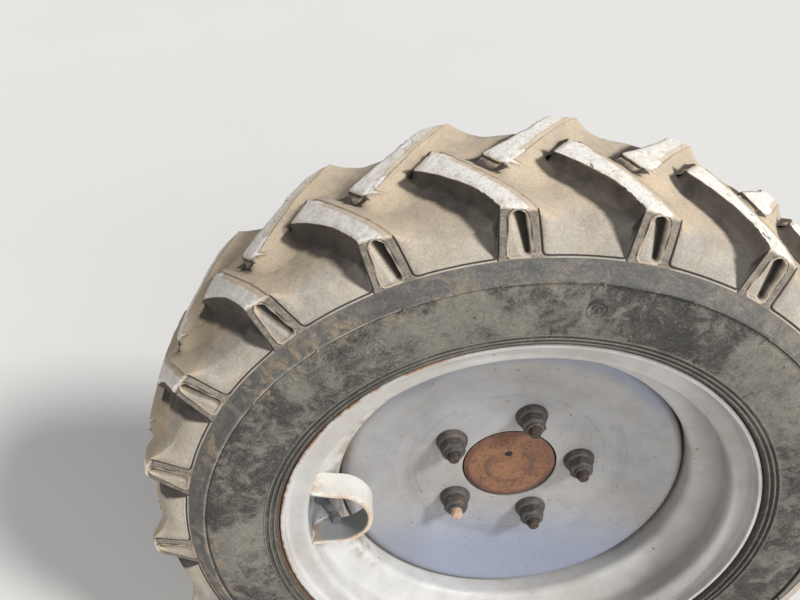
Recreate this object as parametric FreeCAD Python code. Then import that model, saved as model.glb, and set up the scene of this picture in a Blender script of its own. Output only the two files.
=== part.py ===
import FreeCAD, Part
import math
import os

# Off-road traction wheel on its hub and axle end, in millimetres.
# Origin: centre of the axle housing's mounting face. +Y points to the vehicle,
# -Y to the wheel's outer side, +Z up. The wheel turns about the Y axis.

# Tyre, in flat facets that keep it light. Insets are counted from the rim's outer edge.
tyre_facets = 60
tyre_diameter = 711.0
section_width = 183.7
widest_diameter = 540.0
bead_flare_diameter = 460.0
bead_flare_inset = -2.0
shoulder_ring_diameter = 616.6
shoulder_ring_inset = 1.7
floor_edge_diameter = 662.0
floor_edge_inset = 12.0
floor_diameter = 679.0
floor_inset = 32.0
casing_wall = 12.0
cavity_diameter = 610.0
bead_width = 20.0
bead_height = 18.0

# Traction lugs, worn low: two rows of slanted bars, the far row half a pitch behind
lugs_per_row = 20
first_lug_angle = 97.9
lug_edge_diameter = 697.0
lug_edge_inset = 10.5
lug_bend_diameter = 709.0
lug_bend_inset = 40.0
lug_face_setback = 0.8
lug_crown_flat = 46.0
lug_root_radius = 309.0
lug_middle = 32.0
# Lug corners on the tread: inward from the tread's edge, around the wheel from the lug's slot,
# and the slope of the wall that runs on to the next corner
lug_corners = (
    (-25.0, 13.0, 0.10),
    (12.0, 15.0, 0.25),
    (42.0, 49.0, 0.25),
    (56.0, 75.0, 0.35),
    (84.0, 55.0, 0.45),
    (0.0, -11.5, 0.00),
    (-25.0, -11.5, 0.00),
)

# Rim
bead_seat_diameter = 405.6
rim_flange_height = 22.2
rim_inner_width = 138.7
rim_lip_width = 14.0
rim_gauge = 4.0
bead_seat_width = 22.0
well_depth = 26.5
well_slope_length = 14.0
lip_bend_radius = 13.0
seat_bend_radius = 8.0

# Disc
disc_gauge = 8.0
disc_face_inset = 79.2
disc_shoulder_inset = 60.5
disc_flat_diameter = 216.0
disc_shoulder_radius = 9.0
disc_flange_length = 26.0

# Valve and its guard
guard_angle = 182.0
guard_width = 28.0
guard_inset = 12.0
guard_foot_span = 76.0
guard_span = 69.0
guard_reach = 60.0
guard_gauge = 5.0
valve_length = 24.0
valve_radius = 4.0
valve_cap_length = 9.0
valve_cap_radius = 5.5
valve_foot_radius = 8.0
valve_foot_height = 5.0

# Hub, studs and nuts
stud_count = 5
stud_circle_diameter = 140.0
first_stud_angle = 79.6
stud_radius = 7.0
stud_reach = 27.0
stud_head_radius = 11.0
stud_head_height = 6.0
stud_hole_clearance = 0.8
collar_diameter = 31.5
collar_top_diameter = 26.0
collar_height = 7.5
nut_across_flats = 22.0
nut_height = 11.5
nut_chamfer = 1.6
spigot_diameter = 94.0
spigot_hole_clearance = 0.6
spigot_recess = 0.9
spigot_chamfer = 2.5
hub_flange_diameter = 172.0
hub_flange_thickness = 14.0
hub_boss_diameter = 80.0
hub_boss_length = 5.0
shaft_diameter = 60.0
socket_diameter = 35.0
socket_depth = 45.0
lock_nut_diameter = 80.0
lock_nut_width = 13.0
lock_nut_slots = 4
lock_nut_slot_width = 7.0
lock_nut_slot_depth = 4.0

# Axle housing
wheel_offset = 120.0
housing_diameter = 104.0
housing_root_diameter = 124.0
flange_diameter = 186.0
flange_thickness = 16.0
flange_bolt_circle = 152.0
flange_bolt_count = 6
flange_hole_radius = 6.5
recess_diameter = 98.0
shaft_end_inset = 6.0
seal_diameter = 84.0
seal_width = 9.0

# Clearances
running_clearance = 0.05
moving_gap = 5.0
thrust_gap = 0.3
seal_gap = 0.3
skin_gap = 0.3

# Places worked out from the sizes above
bead_seat_radius = bead_seat_diameter / 2
rim_radius = bead_seat_radius + rim_flange_height
rim_width = rim_inner_width + 2 * rim_lip_width
centre_y = -wheel_offset
rim_edge_y = centre_y - rim_width / 2
seat_y = rim_edge_y + rim_lip_width
slope_y = seat_y + bead_seat_width
well_y = slope_y + well_slope_length
lip_centre = (seat_y - lip_bend_radius, rim_radius - lip_bend_radius)
well_radius = bead_seat_radius - well_depth
disc_face_y = rim_edge_y + disc_face_inset
hub_face_y = disc_face_y + disc_gauge
hub_back_y = hub_face_y + hub_flange_thickness
boss_end_y = hub_back_y + hub_boss_length
housing_nose_y = boss_end_y + moving_gap
shaft_end_y = -shaft_end_inset
lock_nut_y = shaft_end_y - lock_nut_width
recess_floor_y = lock_nut_y - thrust_gap
stud_angles = [first_stud_angle + k * 360.0 / stud_count for k in range(stud_count)]

os.makedirs("parts", exist_ok=True)


def save(name, shape):
    """Write one node's solid to its own file."""
    solid = shape.removeSplitter()
    solid.exportStep("parts/" + name + ".step")


def section(*path):
    """A closed face in the plane z = 0 from (y, radius) points. A pair of points is an arc
    through the first of them to the second."""
    start = path[0]
    here = start
    edges = []
    for step in path[1:] + (start,):
        if isinstance(step[0], tuple):
            middle, end = step
            edges.append(Part.Arc(spot(here), spot(middle), spot(end)).toShape())
        else:
            end = step
            edges.append(Part.LineSegment(spot(here), spot(end)).toShape())
        here = end
    return Part.Face(Part.Wire(edges))


def spot(point):
    """The point at one station y and radius, on the +X side of the axis."""
    y, radius = point
    return FreeCAD.Vector(radius, y, 0)


def turned(*path):
    """The solid that a section sweeps in one turn about the wheel's axis."""
    face = section(*path)
    return face.revolve(FreeCAD.Vector(0, 0, 0), FreeCAD.Vector(0, 1, 0), 360)


def rod(radius, y_start, y_end, x=0.0, z=0.0):
    """A round bar along the axis direction between two stations."""
    return Part.makeCylinder(radius, y_end - y_start, FreeCAD.Vector(x, y_start, z), FreeCAD.Vector(0, 1, 0))


def around(angle, radius):
    """The x and z of a place on a circle, its angle counted from +X towards +Z."""
    turn = math.radians(angle)
    return radius * math.cos(turn), radius * math.sin(turn)


def swung(shape, angle):
    """The shape turned about the wheel's axis, from +X towards +Z."""
    copy = shape.copy()
    copy.rotate(FreeCAD.Vector(0, 0, 0), FreeCAD.Vector(0, 1, 0), -angle)
    return copy


def bend(centre, radius, angle):
    """A point on an arc in the (y, radius) plane, its angle counted from +y."""
    turn = math.radians(angle)
    return centre[0] + radius * math.cos(turn), centre[1] + radius * math.sin(turn)


def rim_skin():
    """The rim's skin that faces the axle, as a path over its outer half from the well to the lip."""
    shift = rim_gauge * math.tan(math.atan2(well_depth, well_slope_length) / 2)
    inner_seat = bead_seat_radius - rim_gauge
    lip_inner = lip_bend_radius - rim_gauge
    foot = (seat_y - rim_gauge + seat_bend_radius, inner_seat + seat_bend_radius)
    return [
        (well_y - shift, well_radius - rim_gauge),
        (slope_y - shift, inner_seat),
        (foot[0], inner_seat),
        (bend(foot, seat_bend_radius, 225), (seat_y - rim_gauge, foot[1])),
        (seat_y - rim_gauge, lip_centre[1]),
        (bend(lip_centre, lip_inner, 45), (lip_centre[0], rim_radius - rim_gauge)),
        (rim_edge_y, rim_radius - rim_gauge),
    ]


def make_rim():
    """The drop-centre rim: two rolled flanges, two bead seats and the well between them."""
    outside = [
        (rim_edge_y, rim_radius),
        (lip_centre[0], rim_radius),
        (bend(lip_centre, lip_bend_radius, 45), (seat_y, lip_centre[1])),
        (seat_y, bead_seat_radius),
        (slope_y, bead_seat_radius),
        (well_y, well_radius),
    ]
    inside = rim_skin()
    return turned(*(outside + mirrored_back(outside) + mirrored_back(inside) + inside))


def rim_room():
    """The space that the outer half of the rim encloses, to trim what is welded or seated inside it."""
    return turned((centre_y, 0), (centre_y, well_radius - rim_gauge), *rim_skin(), (rim_edge_y, 0))


def flip(point):
    """A point mirrored about the tyre's centre plane."""
    return 2 * centre_y - point[0], point[1]


def end_of(step):
    """Where a step of a path ends, be it straight or an arc."""
    return step[1] if isinstance(step[0], tuple) else step


def mirrored_back(path):
    """The path's mirror image about the centre plane, walked from its last point to its first."""
    result = [flip(end_of(path[-1]))]
    for before, step in zip(path[-2::-1], path[:0:-1]):
        end = flip(end_of(before))
        if isinstance(step[0], tuple):
            result.append((flip(step[0]), end))
        else:
            result.append(end)
    return result


def faceted(*path):
    """The solid that a closed section of (y, radius) points makes in one turn, in flat facets whose
    middles lie on the true radius."""
    stretch = 1 / math.cos(math.pi / tyre_facets)
    rings = []
    for y, radius in path:
        places = [around(k * 360.0 / tyre_facets, radius * stretch) for k in range(tyre_facets)]
        rings.append([FreeCAD.Vector(x, y, z) for x, z in places])
    faces = []
    for ring, other in zip(rings, rings[1:] + rings[:1]):
        for k in range(tyre_facets):
            faces.append(flat([ring[k - 1], ring[k], other[k], other[k - 1]]))
    return closed(faces)


def flat(points):
    """A flat face through the points."""
    return Part.Face(Part.makePolygon(points + points[:1]))


def closed(faces):
    """The solid inside closed faces, whichever way round they were drawn."""
    solid = Part.Solid(Part.Shell(faces))
    if solid.Volume < 0:
        solid.reverse()
    return solid


def make_casing():
    """The hollow casing up to the tread floor, closed by the rim."""
    lip_gap = (lip_bend_radius + skin_gap) / math.cos(math.radians(22.5))
    side_y = centre_y - section_width / 2
    outside = [
        (seat_y, bead_seat_radius),
        bend(lip_centre, lip_gap, 22.5),
        bend(lip_centre, lip_gap, 67.5),
        (rim_edge_y + bead_flare_inset, bead_flare_diameter / 2),
        (side_y, widest_diameter / 2),
        (rim_edge_y + shoulder_ring_inset, shoulder_ring_diameter / 2),
        (rim_edge_y + floor_edge_inset, floor_edge_diameter / 2),
        (rim_edge_y + floor_inset, floor_diameter / 2),
    ]
    inside = [
        (side_y + 2 * casing_wall, cavity_diameter / 2),
        (side_y + casing_wall, widest_diameter / 2),
        (seat_y + bead_width, bead_seat_radius + bead_height),
        (seat_y + bead_width, bead_seat_radius),
    ]
    return faceted(*(outside + mirrored_back(outside) + mirrored_back(inside) + inside))


def make_tread_room():
    """The ring of space that the lugs fill, from inside the casing out to the worn tread."""
    edge_y = rim_edge_y + lug_edge_inset + lug_face_setback
    lean = (lug_edge_inset - shoulder_ring_inset) / (lug_edge_diameter - shoulder_ring_diameter) * 2
    drop = lug_edge_diameter / 2 - lug_root_radius
    outside = [
        (edge_y - lean * drop, lug_root_radius),
        (edge_y, lug_edge_diameter / 2),
        (rim_edge_y + lug_bend_inset, lug_bend_diameter / 2),
        (centre_y - lug_crown_flat / 2, tyre_diameter / 2),
    ]
    return faceted(*(outside + mirrored_back(outside)))


def sloped_corner(before, here, drop):
    """The corner where two sloped walls meet, a drop below the tread. Each wall is given by its
    start, its direction and its slope."""
    (y1, t1), (dy1, dt1), slope1 = before
    (y2, t2), (dy2, dt2), slope2 = here
    y1 -= dt1 * slope1 * drop
    t1 += dy1 * slope1 * drop
    y2 -= dt2 * slope2 * drop
    t2 += dy2 * slope2 * drop
    cross = dy1 * dt2 - dt1 * dy2
    along = ((y2 - y1) * dt2 - (t2 - t1) * dy2) / cross
    return y1 + dy1 * along, t1 + dt1 * along


def lug_outline(drop):
    """The lug's outline a drop below the tread, as (inward, around) corners."""
    walls = []
    for k, (inward, around_at, slope) in enumerate(lug_corners):
        to_inward, to_around, _ = lug_corners[(k + 1) % len(lug_corners)]
        run = math.hypot(to_inward - inward, to_around - around_at)
        step = ((to_inward - inward) / run, (to_around - around_at) / run)
        walls.append(((inward, around_at), step, slope))
    return [sloped_corner(walls[k - 1], walls[k], drop) for k in range(len(walls))]


def make_lug():
    """One lug of the outer row as a tapered block with flat walls, its slot at angle zero."""
    tread_radius = tyre_diameter / 2
    middle = lug_middle / tread_radius
    out = FreeCAD.Vector(math.cos(middle), 0, math.sin(middle))
    along = FreeCAD.Vector(-math.sin(middle), 0, math.cos(middle))
    edge_y = rim_edge_y + lug_edge_inset
    rings = []
    for height in (tread_radius + 5, lug_root_radius):
        ring = []
        for inward, around_at in lug_outline(tread_radius - height):
            place = out * height + along * (around_at - lug_middle)
            ring.append(place + FreeCAD.Vector(0, edge_y + inward, 0))
        rings.append(ring)
    top, root = rings
    faces = [flat(top), flat(root)]
    for k in range(len(top)):
        faces.append(flat([top[k - 1], top[k], root[k], root[k - 1]]))
    return closed(faces).common(make_tread_room())


def make_tyre():
    """The casing with both rows of lugs fused on."""
    near = make_lug()
    far = near.mirror(FreeCAD.Vector(0, centre_y, 0), FreeCAD.Vector(0, 1, 0))
    pitch = 360.0 / lugs_per_row
    lugs = []
    for k in range(lugs_per_row):
        lugs.append(swung(near, first_lug_angle + k * pitch))
        lugs.append(swung(far, first_lug_angle + (k + 0.5) * pitch))
    return make_casing().fuse(lugs)


def make_disc():
    """The dished disc: a flat centre with its holes, a cone and a flange that fits inside the well."""
    outer = well_radius - rim_gauge
    shoulder_y = rim_edge_y + disc_shoulder_inset
    front = (shoulder_y + disc_shoulder_radius, outer - disc_shoulder_radius)
    inner_bend = max(disc_shoulder_radius - disc_gauge, 1.0)
    flat = disc_flat_diameter / 2
    hole = spigot_diameter / 2 + spigot_hole_clearance
    cone_turn = math.atan2(disc_face_y - shoulder_y, front[1] - flat)
    shift = disc_gauge * math.tan(cone_turn / 2)
    disc = turned(
        (disc_face_y, hole),
        (disc_face_y, flat),
        (shoulder_y, front[1]),
        (bend(front, disc_shoulder_radius, 135), (front[0], outer)),
        (front[0] + disc_flange_length, outer),
        (front[0] + disc_flange_length, outer - disc_gauge),
        (shoulder_y + disc_gauge + inner_bend, outer - disc_gauge),
        (shoulder_y + disc_gauge, front[1] - shift),
        (disc_face_y + disc_gauge, flat - shift),
        (disc_face_y + disc_gauge, hole),
    )
    for angle in stud_angles:
        x, z = around(angle, stud_circle_diameter / 2)
        disc = disc.cut(rod(stud_radius + stud_hole_clearance, disc_face_y - 1, hub_face_y + 1, x, z))
    return disc


def make_hub():
    """The drive flange with its centring spigot, and the shaft with its blind drive socket."""
    spigot = spigot_diameter / 2
    face_y = disc_face_y + spigot_recess
    flange = hub_flange_diameter / 2
    boss = hub_boss_diameter / 2
    shaft = shaft_diameter / 2
    hub = turned(
        (face_y, 0),
        (face_y, spigot - spigot_chamfer),
        (face_y + spigot_chamfer, spigot),
        (hub_face_y, spigot),
        (hub_face_y, flange),
        (hub_back_y, flange),
        (hub_back_y, boss),
        (boss_end_y, boss),
        (boss_end_y, shaft),
        (shaft_end_y, shaft),
        (shaft_end_y, socket_diameter / 2),
        (shaft_end_y - socket_depth, socket_diameter / 2),
        (shaft_end_y - socket_depth, 0),
    )
    for angle in stud_angles:
        x, z = around(angle, stud_circle_diameter / 2)
        hub = hub.cut(rod(stud_radius, hub_face_y - 1, hub_back_y + 1, x, z))
    return hub


def make_stud(angle):
    """A wheel stud, pressed into the hub flange from behind."""
    x, z = around(angle, stud_circle_diameter / 2)
    tip_y = disc_face_y - stud_reach
    shank = rod(stud_radius, tip_y, hub_back_y, x, z)
    head = rod(stud_head_radius, hub_back_y, hub_back_y + stud_head_height, x, z)
    return shank.fuse(head)


def make_collar(angle):
    """The domed collar under a wheel nut."""
    x, z = around(angle, stud_circle_diameter / 2)
    base = Part.makeCone(
        collar_diameter / 2,
        collar_top_diameter / 2,
        collar_height,
        FreeCAD.Vector(x, disc_face_y, z),
        FreeCAD.Vector(0, -1, 0),
    )
    return base.cut(rod(stud_radius, disc_face_y - collar_height - 1, disc_face_y + 1, x, z))


def make_nut(angle):
    """A hexagon wheel nut with a chamfered outer end."""
    x, z = around(angle, stud_circle_diameter / 2)
    corner = nut_across_flats / math.sqrt(3)
    base_y = disc_face_y - collar_height
    points = []
    for k in range(7):
        dx, dz = around(angle + 60 * k, corner)
        points.append(FreeCAD.Vector(x + dx, base_y, z + dz))
    prism = Part.Face(Part.makePolygon(points)).extrude(FreeCAD.Vector(0, -nut_height, 0))
    tip = corner - nut_chamfer
    cap = Part.makeCone(
        tip + nut_height, tip, nut_height, FreeCAD.Vector(x, base_y, z), FreeCAD.Vector(0, -1, 0)
    )
    return prism.common(cap).cut(rod(stud_radius, base_y - nut_height - 1, base_y + 1, x, z))


def make_guard():
    """The valve guard: a flat strap bent to a U, welded by its ends to the rim under the bead seat."""
    seat = bead_seat_radius - rim_gauge
    tip = seat - guard_reach
    outer = u_prism(guard_foot_span / 2, guard_span / 2, tip, seat + rim_gauge)
    inner = u_prism(
        guard_foot_span / 2 - guard_gauge, guard_span / 2 - guard_gauge, tip + guard_gauge, seat + 2 * rim_gauge
    )
    return swung(outer.cut(inner), guard_angle).common(rim_room())


def u_prism(foot_half, half, tip, foot):
    """A solid U along +X, its round end at radius tip, open end at radius foot, as deep as the guard."""
    near_y = rim_edge_y + guard_inset
    middle = tip + half
    corners = [
        FreeCAD.Vector(foot, near_y, -foot_half),
        FreeCAD.Vector(middle, near_y, -half),
        FreeCAD.Vector(tip, near_y, 0),
        FreeCAD.Vector(middle, near_y, half),
        FreeCAD.Vector(foot, near_y, foot_half),
    ]
    edges = [
        Part.LineSegment(corners[0], corners[1]).toShape(),
        Part.Arc(corners[1], corners[2], corners[3]).toShape(),
        Part.LineSegment(corners[3], corners[4]).toShape(),
        Part.LineSegment(corners[4], corners[0]).toShape(),
    ]
    return Part.Face(Part.Wire(edges)).extrude(FreeCAD.Vector(0, guard_width, 0))


def valve_line():
    """Where the valve leaves the well's slope, and its direction, on the +X side."""
    slope = math.atan2(well_depth, well_slope_length)
    middle_y = slope_y + well_slope_length / 2 - rim_gauge * math.sin(slope)
    middle_r = bead_seat_radius - well_depth / 2 - rim_gauge * math.cos(slope)
    start = FreeCAD.Vector(middle_r, middle_y, 0)
    out = FreeCAD.Vector(-math.cos(slope), -math.sin(slope), 0)
    return start, out


def make_valve():
    """The valve stem with its rubber foot, standing on the slope of the well."""
    start, out = valve_line()
    root = start - out
    foot = Part.makeCone(valve_foot_radius, valve_radius, valve_foot_height, root, out)
    stem = Part.makeCylinder(valve_radius, valve_length + 1, root, out)
    return swung(foot.fuse(stem), guard_angle).common(rim_room())


def make_valve_cap():
    """The screw cap on the valve's end."""
    start, out = valve_line()
    end = start + out * valve_length
    return swung(Part.makeCylinder(valve_cap_radius, valve_cap_length, end, out), guard_angle)


def make_lock_nut():
    """The slotted round nut that holds the hub in the housing."""
    radius = lock_nut_diameter / 2
    nut = rod(radius, lock_nut_y, shaft_end_y).cut(rod(shaft_diameter / 2, lock_nut_y - 1, shaft_end_y + 1))
    for k in range(lock_nut_slots):
        slot = Part.makeBox(
            lock_nut_slot_depth * 2,
            lock_nut_width + 2,
            lock_nut_slot_width,
            FreeCAD.Vector(radius - lock_nut_slot_depth, lock_nut_y - 1, -lock_nut_slot_width / 2),
        )
        nut = nut.cut(swung(slot, k * 360.0 / lock_nut_slots))
    return nut


def make_housing():
    """The cast bearing housing with the flange that bolts to the axle."""
    bore = shaft_diameter / 2 + running_clearance
    nose = housing_diameter / 2
    root = housing_root_diameter / 2
    flange = flange_diameter / 2
    seal = seal_diameter / 2
    housing = turned(
        (housing_nose_y, seal),
        (housing_nose_y, nose),
        (-flange_thickness, root),
        (-flange_thickness, flange),
        (0, flange),
        (0, recess_diameter / 2),
        (recess_floor_y, recess_diameter / 2),
        (recess_floor_y, bore),
        (housing_nose_y + seal_width, bore),
        (housing_nose_y + seal_width, seal),
    )
    for k in range(flange_bolt_count):
        x, z = around(k * 360.0 / flange_bolt_count, flange_bolt_circle / 2)
        housing = housing.cut(rod(flange_hole_radius, -flange_thickness - 1, 1, x, z))
    return housing


def make_seal():
    """The lip seal around the shaft, pressed into the housing's nose."""
    return turned(
        (housing_nose_y, shaft_diameter / 2 + seal_gap),
        (housing_nose_y, seal_diameter / 2),
        (housing_nose_y + seal_width, seal_diameter / 2),
        (housing_nose_y + seal_width, shaft_diameter / 2 + seal_gap),
    )


save("tyre", make_tyre())
save("rim", make_rim())
save("wheel_disc", make_disc())
save("valve_guard", make_guard())
save("valve_stem", make_valve())
save("valve_cap", make_valve_cap())
save("hub", make_hub())
save("lock_nut", make_lock_nut())
save("axle_housing", make_housing())
save("seal_ring", make_seal())
for number, angle in enumerate(stud_angles, 1):
    save("wheel_stud_%d" % number, make_stud(angle))
    save("nut_collar_%d" % number, make_collar(angle))
    save("wheel_nut_%d" % number, make_nut(angle))
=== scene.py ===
"""Looks of an off-road wheel on its hub and axle end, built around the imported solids.

The row frame holds everything, in metres: +Z up, -Y to the wheel's outer side, +Y to the
vehicle. Profiles are written in millimetres, as an inset from the rim's outer edge and a
radius from the wheel's axis.
"""

import math

import bmesh
import bpy
import numpy as np
from bpy.props import FloatProperty, FloatVectorProperty, IntProperty, PointerProperty
from mathutils import Matrix, Vector


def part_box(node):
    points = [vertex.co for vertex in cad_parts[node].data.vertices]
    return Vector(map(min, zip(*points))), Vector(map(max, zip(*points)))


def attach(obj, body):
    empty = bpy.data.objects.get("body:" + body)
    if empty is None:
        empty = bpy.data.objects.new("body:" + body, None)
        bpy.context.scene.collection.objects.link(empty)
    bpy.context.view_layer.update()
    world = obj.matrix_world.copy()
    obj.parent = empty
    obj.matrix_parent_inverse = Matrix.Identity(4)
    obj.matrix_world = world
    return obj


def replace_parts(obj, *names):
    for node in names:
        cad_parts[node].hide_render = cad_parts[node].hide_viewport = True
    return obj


bl_info = {
    "name": "Off-road wheel",
    "version": (1, 0, 0),
    "blender": (4, 5, 0),
    "location": "3D View > Sidebar > Wheel",
    "description": "Tyre, rim, disc, hub, nuts and axle end of an off-road wheel",
    "category": "Object",
}

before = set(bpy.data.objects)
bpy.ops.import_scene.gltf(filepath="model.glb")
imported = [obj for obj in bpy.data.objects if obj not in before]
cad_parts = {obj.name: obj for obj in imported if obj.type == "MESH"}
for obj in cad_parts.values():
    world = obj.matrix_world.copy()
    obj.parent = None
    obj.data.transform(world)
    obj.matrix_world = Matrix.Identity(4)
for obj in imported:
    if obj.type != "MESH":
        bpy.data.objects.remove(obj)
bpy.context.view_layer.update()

MM = 0.001
RIM_EDGE_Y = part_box("rim")[0].y
RIM_BACK_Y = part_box("rim")[1].y
CENTRE_INSET = (RIM_BACK_Y - RIM_EDGE_Y) / 2 / MM

# Tyre, in millimetres out from the wheel's axis or inwards from the rim's outer edge
CROWN_RADIUS = 355.5
RING_RADIUS = 308.3
RING_INSET = 1.7
SHOULDER_RADIUS = 348.5
SHOULDER_INSET = 10.5
FLOOR_EDGE_RADIUS = 330.0
FLOOR_RADIUS = 340.5
MOULD_RADIUS = 292.0
MARK_RADIUS = 268.0
BEAD_TOP_RADIUS = 239.5

# Rim and disc, in millimetres, with the gap between them, where painted shade lies as a dark line
RIM_RADIUS = 225.0
RIM_GAUGE = 4.0
BEAD_SEAT_RADIUS = 202.8
SEAT_END_INSET = 36.0
WELL_RADIUS = 176.3
WELL_START_INSET = 50.0
DISC_INSET = 79.2
DISC_GAUGE = 8.0
GAP_RADIUS = 170.5

# Valve guard, in millimetres and degrees. Its legs spread by GUARD_SPREAD for each millimetre.
GUARD_ANGLE = 182.0
GUARD_BEND_RADIUS = 173.3
GUARD_HALF_WIDTH = 34.5
GUARD_FOOT_HALF = 38.0
GUARD_SPREAD = 0.137
GUARD_GAUGE = 5.0
GUARD_NEAR = 12.0

# Hub, studs and nuts, in millimetres and degrees. SHAFT_END_Y is in metres.
HUB_RADIUS = 46.2
HUB_FLANGE_RADIUS = 85.9
HUB_FLANGE_GAUGE = 14.0
HUB_BOSS_RADIUS = 40.0
HUB_BOSS_LENGTH = 5.0
SHAFT_RADIUS = 30.0
SHAFT_END_Y = -0.006
SOCKET_RADIUS = 17.5
SOCKET_DEPTH = 45.0
STUD_COUNT = 5
STUD_CIRCLE_RADIUS = 70.0
FIRST_STUD_ANGLE = 79.6
STUD_REACH = 27.0
COLLAR_HEIGHT = 7.5
MUDDY_STUD = 3

# How strongly the rust setting breaks the paint
RUST_REACH = 3.0

# The lug's two long edges on the tread: inward from the shoulder, along the tread
LEAD_EDGE = ((-40, 36), (-10, 18.5), (0, 13.5), (5, 13.5), (14, 19), (33, 33), (53, 53.5), (71, 75), (92, 59))
TRAIL_EDGE = ((-40, -32), (-10, -18), (0, -13.5), (22, 1.5), (48, 21.5), (85, 49), (92, 59))
LEAD_FOOT = 7.5
TRAIL_FOOT = 31.0
LUG_START_ANGLE = 97.9
LEAD_SETBACK = 5.0
SHOULDER_FOOT = 0.6
SHOULDER_ROWS = np.array(
    [0, 0.04, 0.065, 0.082, 0.098, 0.115, 0.135, 0.16, 0.2, 0.25, 0.32, 0.4, 0.49, 0.58, 0.67, 0.75, 0.82]
    + [0.865, 0.895, 0.92, 0.945, 0.97, 1.0]
)

# The camera: its place from the rim's outer edge in metres, its right, its view and its lens
CAMERA_PLACE = (-0.1785, -0.5659, 0.6980)
CAMERA_RIGHT = (0.9974, -0.0385, 0.0613)
CAMERA_AHEAD = (0.0678, 0.793, -0.6055)
CAMERA_LENS = 42.19
SENSOR_WIDTH = 36.0

# Half the floor's width, in metres
FLOOR_REACH = 60.0


class TyreSettings(bpy.types.PropertyGroup):
    """Sizes and colours of the tyre."""

    lug_count: IntProperty(
        name="Lugs in a row", description="How many lugs stand on each side", default=20, min=8, max=40
    )
    pocket_depth: FloatProperty(
        name="Pocket depth", description="Depth of the slot in a lug's face, in millimetres", default=11.0
    )
    edge_wear: FloatProperty(
        name="Edge wear", description="How far the lugs' edges are worn down, in millimetres", default=1.6
    )
    rubber: FloatVectorProperty(
        name="Rubber", description="Colour of the clean rubber",
        subtype="COLOR", default=(0.085, 0.08, 0.074)
    )
    dust: FloatVectorProperty(
        name="Dust", description="Colour of the dried mud and dust",
        subtype="COLOR", default=(0.44, 0.378, 0.297)
    )
    scuffed: FloatVectorProperty(
        name="Scuffed rubber", description="Colour of the worn tread",
        subtype="COLOR", default=(0.85, 0.805, 0.735)
    )


class WheelSettings(bpy.types.PropertyGroup):
    """Finish of the rim, disc and guard."""

    paint: FloatVectorProperty(
        name="Paint", description="Colour of the silver-white paint",
        subtype="COLOR", default=(0.52, 0.515, 0.51)
    )
    rust: FloatVectorProperty(
        name="Rust", description="Colour of the rust", subtype="COLOR", default=(0.22, 0.085, 0.03)
    )
    rust_spread: FloatProperty(
        name="Rust spread", description="Share of the paint that rust has broken",
        default=0.3, min=0.0, max=1.0
    )


class StageSettings(bpy.types.PropertyGroup):
    """Floor and lamps."""

    floor: FloatVectorProperty(
        name="Floor", description="Colour of the floor", subtype="COLOR", default=(0.74, 0.73, 0.71)
    )
    backdrop: FloatVectorProperty(
        name="Backdrop", description="Colour seen beyond the floor",
        subtype="COLOR", default=(0.80, 0.79, 0.77)
    )
    key_strength: FloatProperty(
        name="Key lamp", description="Strength of the soft sun from the upper right", default=2.6, min=0.0
    )
    side_strength: FloatProperty(
        name="Side lamps", description="Strength of the wide lamps in front and behind", default=1.35, min=0.0
    )
    fill_strength: FloatProperty(
        name="Fill", description="Strength of the even light from all round", default=0.30, min=0.0
    )


def station(inset):
    """The row frame's y of an inset in millimetres from the rim's outer edge."""
    return RIM_EDGE_Y + inset * MM


def polar(angle, radius):
    """The x and z of a place on a circle about the axis, in metres, for degrees and millimetres."""
    turn = math.radians(angle)
    return radius * MM * math.cos(turn), radius * MM * math.sin(turn)


def on_circle(centre, radius, turn, inset):
    """A place in metres on a circle about a centre in metres, for millimetres and radians."""
    return centre[0] + radius * MM * math.cos(turn), station(inset), centre[1] + radius * MM * math.sin(turn)


def beside(angle, radius, offset, inset):
    """A place in metres on a line out from the axis, moved sideways, for degrees and millimetres."""
    turn = math.radians(angle)
    x = radius * math.cos(turn) - offset * math.sin(turn)
    z = radius * math.sin(turn) + offset * math.cos(turn)
    return x * MM, station(inset), z * MM


# Meshes


def add_mesh(name, points, faces, body, material):
    """A mesh piece in the row frame that rides on a body and wears one material."""
    mesh = bpy.data.meshes.new(name)
    mesh.from_pydata(points.tolist() if hasattr(points, "tolist") else points, [], faces)
    mesh.validate()
    mesh.polygons.foreach_set("use_smooth", [True] * len(mesh.polygons))
    piece = bpy.data.objects.new(name, mesh)
    bpy.context.scene.collection.objects.link(piece)
    mesh.materials.append(material)
    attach(piece, body)
    return piece


def grid_faces(rows, columns, close_rows=False, close_columns=True):
    """Quads between the neighbours of a grid of points numbered row by row."""
    row = np.arange(rows if close_rows else rows - 1)
    column = np.arange(columns if close_columns else columns - 1)
    row, column = np.meshgrid(row, column, indexing="ij")
    next_row = (row + 1) % rows
    next_column = (column + 1) % columns
    corners = ((row, column), (row, next_column), (next_row, next_column), (next_row, column))
    quads = np.stack([r * columns + c for r, c in corners], axis=-1)
    return quads.reshape(-1, 4).tolist()


def tube_faces(rows, columns):
    """The faces of a tube of rings, closed at both ends."""
    faces = grid_faces(rows, columns)
    faces.append(list(range(columns))[::-1])
    faces.append([(rows - 1) * columns + k for k in range(columns)])
    return faces


def rounded(corners, closed=True, steps=5):
    """A path through (inset, radius, fillet) corners with each corner rounded by its fillet."""
    path = []
    count = len(corners)
    for k, (inset, radius, fillet) in enumerate(corners):
        here = Vector((inset, radius))
        ends = not closed and k in (0, count - 1)
        if fillet <= 0 or ends:
            path.append(here)
            continue
        back = Vector(corners[k - 1][:2]) - here
        ahead = Vector(corners[(k + 1) % count][:2]) - here
        half = back.angle(ahead) / 2
        reach = min(fillet / math.tan(half), back.length * 0.49, ahead.length * 0.49)
        start = here + back.normalized() * reach
        end = here + ahead.normalized() * reach
        for step in range(steps + 1):
            share = step / steps
            path.append(start * (1 - share) ** 2 + here * 2 * share * (1 - share) + end * share**2)
    return path


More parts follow.
